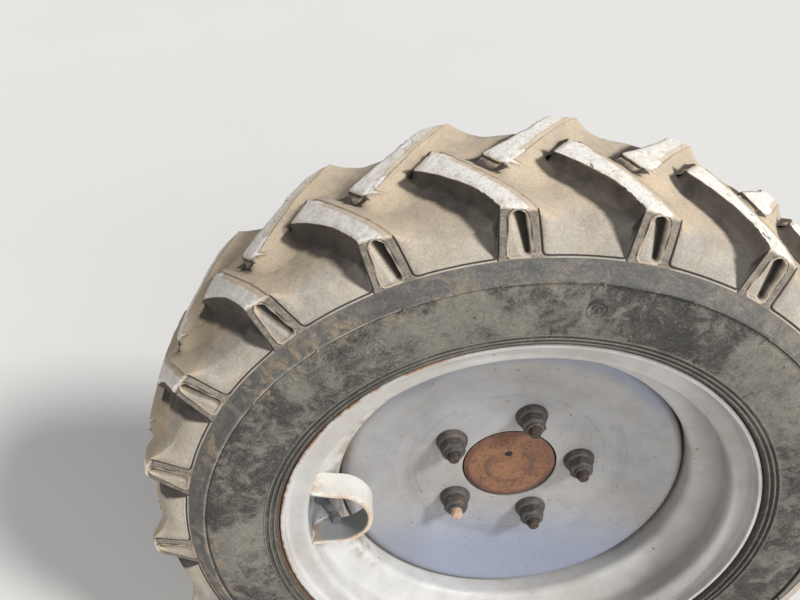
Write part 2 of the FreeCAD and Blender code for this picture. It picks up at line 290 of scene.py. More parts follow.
def turned(name, path, segments, body, slot, material, closed=True, centre=(0.0, 0.0), wobble=None):
    """A piece made by turning a path of (inset, radius) about the wheel's axis or one parallel to it."""
    angles = np.linspace(0, 2 * np.pi, segments, endpoint=False)
    path = np.array([tuple(p) for p in path])
    insets = path[:, 0][:, None] + np.zeros(segments)
    radii = path[:, 1][:, None] + np.zeros(segments)
    if wobble is not None:
        insets, radii = wobble(insets, radii, angles[None, :])
    x = centre[0] + radii * MM * np.cos(angles)
    z = centre[1] + radii * MM * np.sin(angles)
    points = np.stack([x, RIM_EDGE_Y + insets * MM, z], axis=-1)
    faces = grid_faces(len(path), segments, close_rows=closed)
    piece = add_mesh(name, points.reshape(-1, 3), faces, body, material)
    weld_axis(piece)
    return piece


def weld_axis(piece):
    """Merges points that fall together on an axis, and turns all faces outwards."""
    work = bmesh.new()
    work.from_mesh(piece.data)
    bmesh.ops.remove_doubles(work, verts=work.verts, dist=1e-6)
    bmesh.ops.recalc_face_normals(work, faces=work.faces)
    work.to_mesh(piece.data)
    work.free()
    crease = piece.modifiers.new("even shading", "WEIGHTED_NORMAL")
    crease.keep_sharp = True


def joined(name, parts, body, material):
    """One mesh piece from several (points, faces) parts."""
    points = []
    faces = []
    for part_points, part_faces in parts:
        first = len(points)
        points += [tuple(p) for p in part_points]
        faces += [[first + k for k in face] for face in part_faces]
    return add_mesh(name, points, faces, body, material)


def ripple(place, length, seed):
    """A smooth uneven value between about -1 and 1 at places in space, the same on every run."""
    dice = np.random.default_rng(seed)
    total = 0
    for _ in range(8):
        way = dice.normal(size=3)
        way *= 2 * np.pi / (length * dice.uniform(0.6, 1.7) * np.linalg.norm(way))
        total = total + np.sin(place @ way + dice.uniform(0, 2 * np.pi))
    return total / 4.0


def around_axis(inset, radius, angle):
    """Places in space, in millimetres, from insets, radii and angles in radians."""
    return np.stack([radius * np.cos(angle), inset + 0 * angle, radius * np.sin(angle)], axis=-1)


# Materials


class Shader:
    """A new node material with short ways to add the nodes that the finishes share."""

    def __init__(self, name, **sockets):
        self.material = bpy.data.materials.new(name)
        self.material.use_nodes = True
        self.tree = self.material.node_tree
        self.surface = self.tree.nodes["Principled BSDF"]
        for socket, value in sockets.items():
            self.surface.inputs[socket.replace("_", " ")].default_value = value
        self.place = self.add("ShaderNodeTexCoord").outputs["Object"]
        moved = self.add("ShaderNodeVectorMath", operation="ADD")
        self.put(moved.inputs[0], self.place)
        moved.inputs[1].default_value = (3.171, 5.713, 7.939)
        self.moved = moved.outputs[0]

    def add(self, kind, **settings):
        node = self.tree.nodes.new(kind)
        for key, value in settings.items():
            setattr(node, key, value)
        return node

    def put(self, socket, value):
        """Links a socket to another, or sets its constant."""
        if isinstance(value, bpy.types.NodeSocket):
            self.tree.links.new(value, socket)
        elif socket.type == "RGBA":
            socket.default_value = (*tuple(value)[:3], 1.0)
        else:
            socket.default_value = value

    def math(self, operation, a, b=0.0, clamp=False):
        node = self.add("ShaderNodeMath", operation=operation, use_clamp=clamp)
        for socket, value in zip(node.inputs, (a, b)):
            self.put(socket, value)
        return node.outputs[0]

    def plus(self, a, b):
        return self.math("ADD", a, b)

    def minus(self, a, b):
        return self.math("SUBTRACT", a, b)

    def times(self, first, *others):
        """The product of all the values."""
        for value in others:
            first = self.math("MULTIPLY", first, value)
        return first

    def apart(self, value, middle):
        """How far a value is from a middle one."""
        return self.math("ABSOLUTE", self.minus(value, middle))

    def noise(self, scale, detail=4.0, roughness=0.55, place=None, distortion=0.0):
        node = self.add("ShaderNodeTexNoise")
        values = (place or self.moved, scale, detail, roughness, distortion)
        for label, value in zip(("Vector", "Scale", "Detail", "Roughness", "Distortion"), values):
            self.put(node.inputs[label], value)
        return node.outputs["Fac"]

    def cells(self, scale, feature="F1"):
        node = self.add("ShaderNodeTexVoronoi", feature=feature)
        self.put(node.inputs["Vector"], self.moved)
        self.put(node.inputs["Scale"], scale)
        return node.outputs["Distance"]

    def band(self, value, low, high, to_low=0.0, to_high=1.0):
        """A value mapped from one range to another with soft ends."""
        node = self.add("ShaderNodeMapRange", interpolation_type="SMOOTHSTEP")
        for socket, number in zip(node.inputs, (value, low, high, to_low, to_high)):
            self.put(socket, number)
        return node.outputs[0]

    def mix(self, share, a, b):
        node = self.add("ShaderNodeMix", data_type="RGBA")
        self.put(node.inputs[0], share)
        self.put(node.inputs[6], a)
        self.put(node.inputs[7], b)
        return node.outputs[2]

    def attribute(self, name):
        return self.add("ShaderNodeAttribute", attribute_name=name).outputs["Fac"]

    def split(self):
        """The three coordinates of a place in the row frame."""
        parts = self.add("ShaderNodeSeparateXYZ")
        self.put(parts.inputs[0], self.place)
        return parts.outputs

    def length(self, a, b):
        """The long side of a right triangle."""
        return self.math("SQRT", self.plus(self.times(a, a), self.times(b, b)))

    def round_place(self, angular, radial, axial):
        """Coordinates that run around the wheel's axis, across it and along it, with no seam."""
        x, y, z = self.split()
        radius = self.length(x, z)
        safe = self.math("MAXIMUM", radius, MM)
        across = self.times(radius, radial)
        along = self.times(y, axial)
        place = self.add("ShaderNodeCombineXYZ")
        self.put(place.inputs[0], self.plus(self.times(self.math("DIVIDE", x, safe), angular), across))
        self.put(place.inputs[1], self.plus(self.times(self.math("DIVIDE", z, safe), angular), along))
        self.put(place.inputs[2], self.minus(across, along))
        return place.outputs[0]

    def radius(self):
        """The distance from the wheel's axis, in millimetres."""
        x, _, z = self.split()
        return self.times(self.length(x, z), 1 / MM)

    def grained(self, colour, scale, share, dark=(0.05, 0.045, 0.04), pale=(0.85, 0.80, 0.72)):
        """A colour with fine dark and pale grains in it."""
        grain = self.noise(scale, 3.0, 0.75)
        colour = self.mix(self.band(grain, 0.30, 0.50, share, 0.0), colour, dark)
        return self.mix(self.band(grain, 0.52, 0.70, 0.0, share), colour, pale)

    def axis(self, index):
        """One coordinate in the row frame, in millimetres."""
        return self.times(self.split()[index], 1 / MM)

    def inset(self):
        """The distance inwards from the rim's outer edge, in millimetres."""
        return self.minus(self.axis(1), RIM_EDGE_Y / MM)

    def from_guard(self):
        """Distance from the guard's middle line across its bend and between its legs, in millimetres."""
        x, z = polar(GUARD_ANGLE, GUARD_BEND_RADIUS)
        over = self.minus(self.axis(0), x / MM)
        off = self.minus(self.axis(2), z / MM)
        inwards = self.math("MAXIMUM", over, 0.0)
        spread = self.times(self.math("MINIMUM", over, 0.0), GUARD_SPREAD)
        return self.plus(self.length(inwards, off), spread)

    def bump(self, height, distance, strength):
        node = self.add("ShaderNodeBump")
        for label, value in (("Height", height), ("Distance", distance), ("Strength", strength)):
            self.put(node.inputs[label], value)
        return node.outputs[0]

    def finish(self, colour, roughness, normal=None):
        self.put(self.surface.inputs["Base Color"], colour)
        self.put(self.surface.inputs["Roughness"], roughness)
        if normal is not None:
            self.put(self.surface.inputs["Normal"], normal)
        return self.material


def tread_rubber(settings):
    """Dusty rubber: tan between the lugs, pale and scuffed on their worn tops, with painted shade below their
    leading walls and painted shadow in their slots.
    """
    s = Shader("tread_rubber", Specular_IOR_Level=0.25)
    top = s.attribute("worn_top")
    slot = s.attribute("slot")
    face = s.attribute("shoulder_face")
    shaded = s.attribute("shaded")
    cloud = s.noise(9.0, 5.0, 0.6)
    speck = s.noise(160.0, 5.0, 0.7)
    blotch = s.noise(34.0, 5.0, 0.65, distortion=0.6)
    dust = s.mix(s.band(blotch, 0.38, 0.62), settings.dust, (0.50, 0.455, 0.385))
    dust = s.mix(s.band(cloud, 0.44, 0.62, 0.0, 0.75), dust, (0.33, 0.30, 0.265))
    dust = s.mix(s.band(speck, 0.54, 0.74, 0.0, 0.4), dust, (0.20, 0.175, 0.145))
    crown = s.times(s.band(s.radius(), 333.5, 340.5, 0.0, 0.88), s.band(blotch, 0.38, 0.60, 0.45, 1.0))
    dust = s.mix(crown, dust, (0.585, 0.46, 0.32))
    bare = s.mix(s.band(speck, 0.35, 0.65), (0.16, 0.135, 0.11), (0.26, 0.225, 0.185))
    side = s.mix(s.band(blotch, 0.46, 0.66, 0.0, 0.35), bare, settings.dust)
    coat = s.mix(face, dust, side)
    strip = s.mix(blotch, (0.72, 0.60, 0.46), (0.52, 0.42, 0.32))
    coat = s.mix(s.band(top, 0.04, 0.22, 0.0, 0.85), coat, strip)
    # Painted shade: a dark wedge below each lug's leading wall, and thin dark lines along the panels' edges
    # and round the slots.
    edge = s.plus(shaded, s.times(s.minus(blotch, 0.5), 0.35))
    deep = s.times(s.band(edge, 0.12, 0.34), s.band(blotch, 0.3, 0.6, 1.0, 0.9))
    coat = s.grained(coat, 520.0, 0.2)
    coat = s.mix(deep, coat, s.mix(speck, (0.036, 0.03, 0.027), (0.06, 0.052, 0.045)))
    scuff = s.mix(s.band(speck, 0.30, 0.52), (0.60, 0.55, 0.485), settings.scuffed)
    scuff = s.mix(s.band(blotch, 0.5, 0.7, 0.0, 0.6), scuff, (0.92, 0.875, 0.80))
    scuff = s.grained(scuff, 480.0, 0.34, (0.20, 0.18, 0.16), (1.0, 0.97, 0.92))
    wear = s.band(s.plus(top, s.times(s.minus(speck, 0.5), 0.8)), 0.3, 0.62)
    colour = s.mix(wear, coat, scuff)
    crack = s.cells(52.0, feature="DISTANCE_TO_EDGE")
    split = s.times(s.band(crack, 0.006, 0.018, 1.0, 0.0), s.band(blotch, 0.58, 0.64))
    split = s.times(split, top)
    colour = s.mix(split, colour, settings.rubber)
    # Painted shadow in the slots of the shoulder faces.
    colour = s.mix(s.band(slot, 0.1, 0.75, 0.0, 0.93), colour, (0.028, 0.025, 0.022))
    grain = s.noise(420.0, 6.0, 0.65)
    height = s.plus(s.times(speck, 0.6), s.times(grain, 0.25))
    height = s.minus(height, split)
    normal = s.bump(height, 0.0012, 0.9)
    return s.finish(colour, s.band(speck, 0.3, 0.7, 0.78, 0.95), normal)


def wall_rubber():
    """Sidewall rubber: dark, clouded with pale dust and mud, paler on its bead ridges, with a painted
    highlight and painted shade at its mould line.
    """
    s = Shader("wall_rubber", Specular_IOR_Level=0.3)
    streak = s.noise(1.0, 4.0, 0.6, s.round_place(16.0, 160.0, 0.0))
    cloud = s.noise(13.0, 5.0, 0.62, distortion=0.5)
    blotch = s.noise(48.0, 7.0, 0.75, distortion=0.8)
    speck = s.noise(230.0, 5.0, 0.75)
    radius = s.radius()
    base = s.mix(s.band(speck, 0.35, 0.65), (0.05, 0.047, 0.042), (0.115, 0.107, 0.095))
    base = s.mix(s.band(blotch, 0.45, 0.62, 0.0, 0.85), base, (0.26, 0.238, 0.20))
    dusty = s.times(s.band(cloud, 0.50, 0.64, 0.0, 0.75), s.band(speck, 0.3, 0.6, 0.6, 1.0))
    base = s.mix(dusty, base, (0.31, 0.285, 0.235))
    base = s.mix(s.band(cloud, 0.36, 0.46, 0.75, 0.0), base, (0.05, 0.047, 0.042))
    base = s.mix(s.band(speck, 0.60, 0.74, 0.0, 0.75), base, (0.44, 0.405, 0.34))
    scratch = s.noise(70.0, 4.0, 0.5, distortion=6.0)
    fine = s.times(s.band(s.apart(scratch, 0.5), 0.0, 0.014, 0.8, 0.0), s.band(cloud, 0.48, 0.56))
    base = s.mix(fine, base, (0.40, 0.375, 0.32))
    ring = s.band(radius, MOULD_RADIUS, MOULD_RADIUS + 1.5)
    smooth = s.mix(s.band(streak, 0.35, 0.7), (0.115, 0.112, 0.107), (0.165, 0.157, 0.145))
    smooth = s.mix(s.band(blotch, 0.46, 0.64, 0.0, 0.5), smooth, (0.25, 0.22, 0.17))
    base = s.mix(s.times(ring, 0.85), base, smooth)
    mud = s.times(s.band(blotch, 0.48, 0.58), s.band(cloud, 0.44, 0.54))
    near = s.band(s.apart(radius, 295.0), 5.0, 16.0, 0.9, 0.0)
    near = s.times(near, s.band(s.axis(0), -60.0, -130.0, 0.25, 1.0))
    mud = s.times(mud, s.band(speck, 0.36, 0.58, 0.35, 1.0))
    base = s.mix(s.times(mud, near), base, (0.37, 0.285, 0.195))
    # Painted highlight: a pale line on the mould line's flash, on the left side only.
    line = s.band(s.apart(radius, MOULD_RADIUS + 0.9), 0.3, 0.9, 0.6, 0.0)
    line = s.times(line, s.band(s.axis(0), -90.0, -150.0))
    base = s.mix(s.times(line, s.band(blotch, 0.38, 0.55, 0.4, 1.0)), base, (0.50, 0.455, 0.37))
    # Painted shade: a dark line along the mould line's step.
    crease = s.band(s.apart(radius, MOULD_RADIUS - 0.6), 0.5, 1.4, 0.88, 0.0)
    base = s.mix(crease, base, (0.035, 0.032, 0.03))
    ridge = s.math("SINE", s.times(s.minus(radius, 229.3), math.tau / 4.4))
    bead = s.band(radius, BEAD_TOP_RADIUS, BEAD_TOP_RADIUS + 1.5, 1.0, 0.0)
    tone = s.mix(s.band(ridge, 0.1, 0.95), (0.05, 0.046, 0.042), (0.23, 0.215, 0.18))
    base = s.mix(s.times(bead, s.band(blotch, 0.35, 0.6, 0.35, 0.9)), base, tone)
    dirt = s.times(s.band(radius, 227.0, 229.5, 1.0, 0.0), s.band(speck, 0.3, 0.55, 0.6, 0.95))
    brown = s.mix(s.band(s.axis(0), -40.0, -120.0), (0.055, 0.048, 0.042), (0.13, 0.07, 0.04))
    base = s.mix(dirt, base, brown)
    base = s.mix(s.band(radius, MOULD_RADIUS, MOULD_RADIUS + 1.5, 0.26, 0.14), base, (0.0, 0.0, 0.0))
    base = s.grained(base, 560.0, 0.12)
    height = s.plus(s.times(streak, 0.1), s.times(speck, 0.5))
    height = s.plus(height, s.times(blotch, 0.5))
    normal = s.bump(height, 0.001, 0.9)
    return s.finish(base, s.band(speck, 0.3, 0.7, 0.62, 0.85), normal)


def wheel_paint(name, settings, tint, grime, lip=False, disc=False, guard=False):
    """Silver-white paint with freckles, scratches and brown grime, and the marks of one piece:
    rust on the rim's lip or the guard's edge, painted shade in and under the guard and on the rim's right,
    and on the disc painted shade in its gap and on its left, its rings and a painted bluish reflection."""
    s = Shader(name, Specular_IOR_Level=0.45)
    clean = tuple(a * b for a, b in zip(settings.paint, tint))
    cloud = s.noise(7.0, 4.0, 0.6)
    mottle = s.noise(45.0, 5.0, 0.65)
    fine = s.noise(380.0, 4.0, 0.6)
    paint = s.mix(s.band(mottle, 0.35, 0.68), clean, tuple(0.86 * c for c in clean))
    paint = s.mix(s.band(cloud, 0.46, 0.70, 0.0, grime), paint, (0.36, 0.31, 0.25))
    scratch = s.noise(1.0, 3.0, 0.5, s.round_place(3.0, 900.0, 900.0))
    paint = s.mix(s.band(scratch, 0.66, 0.70, 0.0, 0.3), paint, (0.70, 0.70, 0.71))
    scuff = s.noise(30.0, 6.0, 0.8, distortion=2.0)
    paint = s.mix(s.band(scuff, 0.60, 0.68, 0.0, 0.35), paint, tuple(0.62 * c for c in clean))
    if lip or disc:
        away = s.apart(s.radius(), GAP_RADIUS + 2.5)
        side = s.band(s.axis(0), -110.0, -150.0)
        stain = s.times(s.band(away, 2.0, 14.0, 0.75, 0.0), s.band(mottle, 0.40, 0.62))
        paint = s.mix(s.times(stain, side), paint, (0.33, 0.25, 0.165))
    freckle = s.cells(60.0)
    level = s.times(s.band(freckle, 0.05, 0.11, 1.0, 0.0), s.band(scuff, 0.50, 0.58))
    chip = s.times(s.band(mottle, 0.70, 0.735), s.band(cloud, 0.50, 0.60))
    level = s.math("MAXIMUM", level, chip)
    if lip:
        near = s.band(s.radius(), RIM_RADIUS - 2.6, RIM_RADIUS - 0.6)
        left = s.band(s.axis(0), -20.0, -140.0, 0.12, 1.0)
        level = s.math("MAXIMUM", level, s.times(near, left, s.band(mottle, 0.42, 0.52)))
    if guard:
        near = s.band(s.inset(), GUARD_NEAR + 2.5, GUARD_NEAR + 0.3)
        level = s.math("MAXIMUM", level, s.times(near, s.band(mottle, 0.40, 0.60, 0.0, 0.55)))
        foot = s.band(s.axis(0), -182.0, -196.0, 0.0, 0.7)
        level = s.math("MAXIMUM", level, s.times(foot, s.band(mottle, 0.46, 0.60)))
    level = s.math("MULTIPLY", level, settings.rust_spread * RUST_REACH, clamp=True)
    rust = s.mix(s.band(fine, 0.35, 0.65), settings.rust, (0.40, 0.22, 0.10))
    if guard:
        rust = s.mix(s.band(fine, 0.35, 0.65), (0.42, 0.20, 0.08), (0.66, 0.42, 0.20))
        # Painted shade: grey inside the guard's bend and between its legs.
        inner = GUARD_HALF_WIDTH - GUARD_GAUGE
        inside = s.band(s.from_guard(), inner + 0.8, inner + 1.6, 0.93, 0.0)
        paint = s.mix(inside, paint, s.mix(mottle, (0.19, 0.20, 0.215), (0.29, 0.295, 0.30)))
    if lip:
        # Painted shadow of the guard on the rim beneath it.
        under = s.band(s.from_guard(), 25.0, 31.0, 0.75, 0.0)
        under = s.times(under, s.band(s.axis(0), -168.0, -176.0))
        under = s.times(under, s.band(s.radius(), 199.4, 200.4, 1.0, 0.0))
        under = s.times(under, s.band(s.inset(), 44.0, 52.0, 1.0, 0.0))
        paint = s.mix(under, paint, s.mix(mottle, (0.15, 0.16, 0.175), (0.26, 0.255, 0.25)))
        # Painted shade on the rim's right inner side.
        right = s.times(s.band(s.axis(0), 90.0, 160.0, 0.0, 0.42), s.band(s.radius(), 176.0, 198.0, 0.3, 1.0))
        right = s.times(right, s.band(s.radius(), 217.0, 222.5, 1.0, 0.0))
        paint = s.mix(right, paint, (0.17, 0.14, 0.125))
    if disc:
        radius = s.radius()
        # Painted reflection: a bluish cast low on the disc and near its upper shoulder.
        upper = s.times(s.band(radius, 144.0, 160.0, 0.0, 0.8), s.band(s.axis(2), 70.0, 120.0))
        painted_sky_reflection = s.math("MAXIMUM", s.band(s.axis(2), -40.0, -130.0), upper)
        paint = s.mix(s.times(painted_sky_reflection, 0.85), paint, (0.225, 0.255, 0.345))
        # Painted shade on the disc's left side.
        paint = s.mix(s.band(s.axis(0), -60.0, -100.0, 0.0, 0.3), paint, (0.17, 0.165, 0.16))
        for ring, reach, share in ((96.0, 1.6, 0.35), (117.0, 1.2, 0.22)):
            away = s.apart(radius, ring)
            share = s.times(s.band(away, 0.2, reach, share, 0.0), s.band(mottle, 0.4, 0.55))
            paint = s.mix(share, paint, (0.20, 0.19, 0.20))
        dots = s.times(s.band(s.noise(330.0, 2.0, 0.5), 0.66, 0.70), s.band(cloud, 0.46, 0.56))
        paint = s.mix(s.times(dots, 0.6), paint, (0.16, 0.14, 0.13))
    colour = s.mix(level, paint, rust)
    if disc:
        # Painted shade: a dark line along the gap between the disc and the rim's well.
        away = s.apart(radius, GAP_RADIUS)
        colour = s.mix(s.band(away, 0.6, 3.2, 0.9, 0.0), colour, (0.055, 0.042, 0.038))
    height = s.minus(s.times(mottle, 0.25), s.times(level, 0.6))
    height = s.plus(height, s.times(fine, 0.08))
    normal = s.bump(height, 0.0009, 0.7)
    rough = s.plus(s.band(mottle, 0.3, 0.7, 0.34, 0.48), s.times(level, 0.4))
    return s.finish(colour, rough, normal)


def rusted_steel(name, bright, deep, rim_radius=None):
    """Bare steel under an even coat of rust, darker towards its rim where it has one, with painted shade
    deepening that rim towards the bottom and a painted dark line at its edge.
    """
    s = Shader(name, Specular_IOR_Level=0.3)
    cloud = s.noise(32.0, 5.0, 0.65)
    speck = s.noise(260.0, 5.0, 0.75)
    colour = s.mix(s.band(cloud, 0.36, 0.66), bright, deep)
    colour = s.mix(s.band(speck, 0.50, 0.66, 0.0, 0.8), colour, tuple(0.4 * c for c in deep))
    colour = s.mix(s.band(speck, 0.28, 0.42, 0.5, 0.0), colour, tuple(min(1.0, 1.5 * c) for c in bright))
    if rim_radius is not None:
        radius = s.radius()
        # Rust darker towards the rim, with painted shade that deepens it towards the bottom.
        low = s.band(s.axis(2), 10.0, -30.0, 0.45, 1.0)
        outer = s.times(s.band(radius, rim_radius - 11.0, rim_radius - 3.0, 0.0, 0.85), low)
        colour = s.mix(outer, colour, (0.105, 0.062, 0.056))
        away = s.apart(radius, 23.0)
        smudge = s.times(s.band(away, 1.0, 5.0, 0.6, 0.0), s.band(cloud, 0.44, 0.6))
        colour = s.mix(smudge, colour, (0.10, 0.062, 0.05))
        # Painted shade: a thin dark line at the rim's edge, where the face meets the disc.
        edge = s.band(radius, rim_radius - 0.6, rim_radius - 0.1, 0.0, 0.9)
        colour = s.mix(edge, colour, (0.02, 0.015, 0.013))
    normal = s.bump(speck, 0.0009, 0.85)
    return s.finish(colour, s.band(speck, 0.3, 0.7, 0.68, 0.9), normal)


def nut_steel():
    """Dark oiled steel, rusted brown in places."""
    s = Shader("nut_steel", Specular_IOR_Level=0.55)
    speck = s.noise(240.0, 5.0, 0.7)
    cloud = s.noise(60.0, 4.0, 0.6)
    colour = s.mix(s.band(speck, 0.4, 0.66), (0.042, 0.04, 0.042), (0.095, 0.08, 0.07))
    colour = s.mix(s.band(cloud, 0.52, 0.66, 0.0, 0.6), colour, (0.13, 0.09, 0.06))
    normal = s.bump(s.plus(speck, s.times(cloud, 0.5)), 0.0006, 0.8)
    return s.finish(colour, s.band(speck, 0.3, 0.7, 0.40, 0.7), normal)


def stud_steel(name, colour, pale):
    """Stud thread under rust or dried dirt."""
    s = Shader(name, Specular_IOR_Level=0.35)
    speck = s.noise(300.0, 5.0, 0.7)
    tint = s.mix(s.band(speck, 0.38, 0.66), colour, pale)
    return s.finish(tint, 0.75, s.bump(speck, 0.0005, 0.7))


def black_rubber(name, colour):
    """Plain moulded rubber with a little dust."""
    s = Shader(name, Specular_IOR_Level=0.35)
    speck = s.noise(180.0, 4.0, 0.65)
    cloud = s.noise(40.0, 4.0, 0.6)
    tint = s.mix(s.band(cloud, 0.48, 0.68, 0.0, 0.55), colour, (0.20, 0.17, 0.13))
    tint = s.mix(s.band(speck, 0.5, 0.75, 0.0, 0.35), tint, (0.12, 0.11, 0.10))
    return s.finish(tint, 0.68, s.bump(speck, 0.0004, 0.6))


def housing_paint():
    """Dark grey paint on a casting, with dirt and rust in its low places."""
    s = Shader("housing_paint", Specular_IOR_Level=0.4)
    cast = s.noise(130.0, 5.0, 0.6)
    cloud = s.noise(16.0, 4.0, 0.6)
    colour = s.mix(s.band(cast, 0.35, 0.65), (0.10, 0.115, 0.12), (0.15, 0.165, 0.17))
    colour = s.mix(s.band(cloud, 0.48, 0.66, 0.0, 0.7), colour, (0.26, 0.20, 0.145))
    chip = s.times(s.band(cast, 0.62, 0.66), s.band(cloud, 0.44, 0.5))
    colour = s.mix(chip, colour, (0.20, 0.09, 0.045))
    return s.finish(colour, s.band(cast, 0.3, 0.7, 0.5, 0.75), s.bump(cast, 0.0012, 0.7))


def floor_finish(settings):
    """Pale even floor with a hint of texture."""
    s = Shader("pale_floor", Specular_IOR_Level=0.0)
    cloud = s.noise(3.0, 3.0, 0.5)
    pale = tuple(settings.floor)
    colour = s.mix(s.band(cloud, 0.3, 0.7), pale, tuple(0.985 * c for c in pale))
    return s.finish(colour, 1.0)


# Tyre


def unit(values):
    """The values held between 0 and 1."""
    return np.clip(values, 0, 1)


def bell(distance, width):
    """A smooth curve that is 1 at no distance and falls off over a width."""
    return np.exp(-((distance / width) ** 2))


def edge_at(edge, inward):
    """Where one of the lug's edges lies along the tread, in millimetres."""
    table = np.array(edge, float)
    return np.interp(inward, table[:, 0], table[:, 1])


def off_line(inward, along, start, end):
    """How far places lie from the line through two points, and at which share of the way."""
    (y0, t0), (y1, t1) = start, end
    run = math.hypot(y1 - y0, t1 - t0)
    away = np.abs((inward - y0) * (t1 - t0) - (along - t0) * (y1 - y0)) / run
    return away, ((inward - y0) * (y1 - y0) + (along - t0) * (t1 - t0)) / run**2


def lug_reach(inward, along):
    """For each place on the tread: its distance outside a lug's outline as a share of that wall's
    foot and in millimetres, its distance from the leading edge, and its depth inside."""
    corners = LEAD_EDGE + TRAIL_EDGE[-2::-1]
    outside = np.full(inward.shape, np.inf)
    away = np.full(inward.shape, np.inf)
    lead_away = np.full(inward.shape, np.inf)
    lead_near = np.full(inward.shape, np.inf)
    within = np.zeros(inward.shape, bool)
    for k, (y1, t1) in enumerate(corners):
        y0, t0 = corners[k - 1]
        run = math.hypot(y1 - y0, t1 - t0)
        share = unit(((inward - y0) * (y1 - y0) + (along - t0) * (t1 - t0)) / run**2)
        here = np.hypot(inward - y0 - share * (y1 - y0), along - t0 - share * (t1 - t0))
        leads = 0 < k < len(LEAD_EDGE)
        nose = k == len(LEAD_EDGE) - 1
        foot = LEAD_FOOT if leads else TRAIL_FOOT
        foot = foot * np.where(inward < 0, SHOULDER_FOOT, 1.0)
        outside = np.minimum(outside, here / foot)
        away = np.minimum(away, here)
        if leads:
            lead_away = np.minimum(lead_away, here * (1.5 if nose else 1.0))
            lead_near = np.minimum(lead_near, here)
        crosses = (t0 > along) != (t1 > along)
        with np.errstate(divide="ignore", invalid="ignore"):
            at = y0 + (along - t0) * (y1 - y0) / (t1 - t0)
        within ^= crosses & (inward < at)
    lead_off, lead_share = off_line(inward, along, LEAD_EDGE[-3], LEAD_EDGE[-2])
    nose_off, nose_share = off_line(inward, along, LEAD_EDGE[-2], LEAD_EDGE[-1])
    depth = np.where(within, np.minimum(away, np.maximum(nose_off - 1.2, 0)), 0.0)
    corner = (lead_share > 1) & (nose_share < 0)
    lead_away = np.where(corner, np.maximum(lead_off, nose_off * 1.5), lead_away)
    lead_away = np.where((nose_share > 1) & (lead_share > 1), 99.0, lead_away)
    lead_away = lead_away / np.interp(inward, (25, 75), (1.0, 0.55))
    lead_away = np.where(within | (lead_near > away + 0.5), 99.0, lead_away)
    return np.where(within, 0.0, outside), np.where(within, 0.0, away), lead_away, depth


def lug_columns(pitch, y_inward, mirrored_inward, per_side):
    """The places around the tread of one pitch's columns in a row, closest where the lugs' walls are."""

    def knots(inward):
        there = min(inward, 2 * (CENTRE_INSET - SHOULDER_INSET) - inward)
        middle = (edge_at(LEAD_EDGE, there) + edge_at(TRAIL_EDGE, there)) / 2
        trail = edge_at(TRAIL_EDGE, inward)
        lead = edge_at(LEAD_EDGE, inward)
        present = inward <= LEAD_EDGE[-1][0]
        if not present or lead - trail < 6:
            trail, lead = middle - 3, middle + 3
        if present:
            return (trail - 24, trail - 4, trail, lead, lead + 3, lead + 8)
        return (middle - 12, middle - 7, trail, lead, middle + 6, middle + 10)

    near = np.array(knots(y_inward))
    far = np.array(knots(mirrored_inward)) + pitch / 2
    ends = np.append(near, far)
    ends = np.append(ends, near[0] + pitch)
    ends = np.maximum.accumulate(ends)
    shares = (6, 6, per_side - 25, 5, 4, 4) * 2
    places = []
    for k, count in enumerate(shares):
        places.append(ends[k] + (ends[k + 1] - ends[k]) * np.arange(count) / count)
    return np.concatenate(places)


def pocket(radii, along, settings):
    """The slot in a lug's shoulder face: its depth, its thin rim, the painted shadow in it and the painted
    shade of the line round it.
    """
    low, high, middle = 310.5, 345.5, 0.3
    half = np.interp(radii, (low, high), (10.2, 5.6))
    corner = np.interp(radii, (low, high), (3.5, 5.2))
    across = np.maximum(np.abs(along - middle) - half + corner, 0)
    up = np.maximum(np.abs(radii - (low + high) / 2) - (high - low) / 2 + corner, 0)
    away = np.hypot(across, up) - corner
    hole = unit(-away / 1.3)
    hole = hole * hole * (3 - 2 * hole)
    rise = (radii - low) / (high - low)
    slope = np.clip(0.1 + 0.62 * rise + 0.07 * (middle - along), 0.08, 1.0)
    rim = bell(away - 0.5, 0.8)
    outline = bell(away - 1.9, 0.55) * 0.75
    # The third value is the painted shadow in the slot; the fourth is the painted shade round it.
    return hole * slope * settings.pocket_depth, rim * 0.8, hole * unit(slope * 4 - 1.2), outline


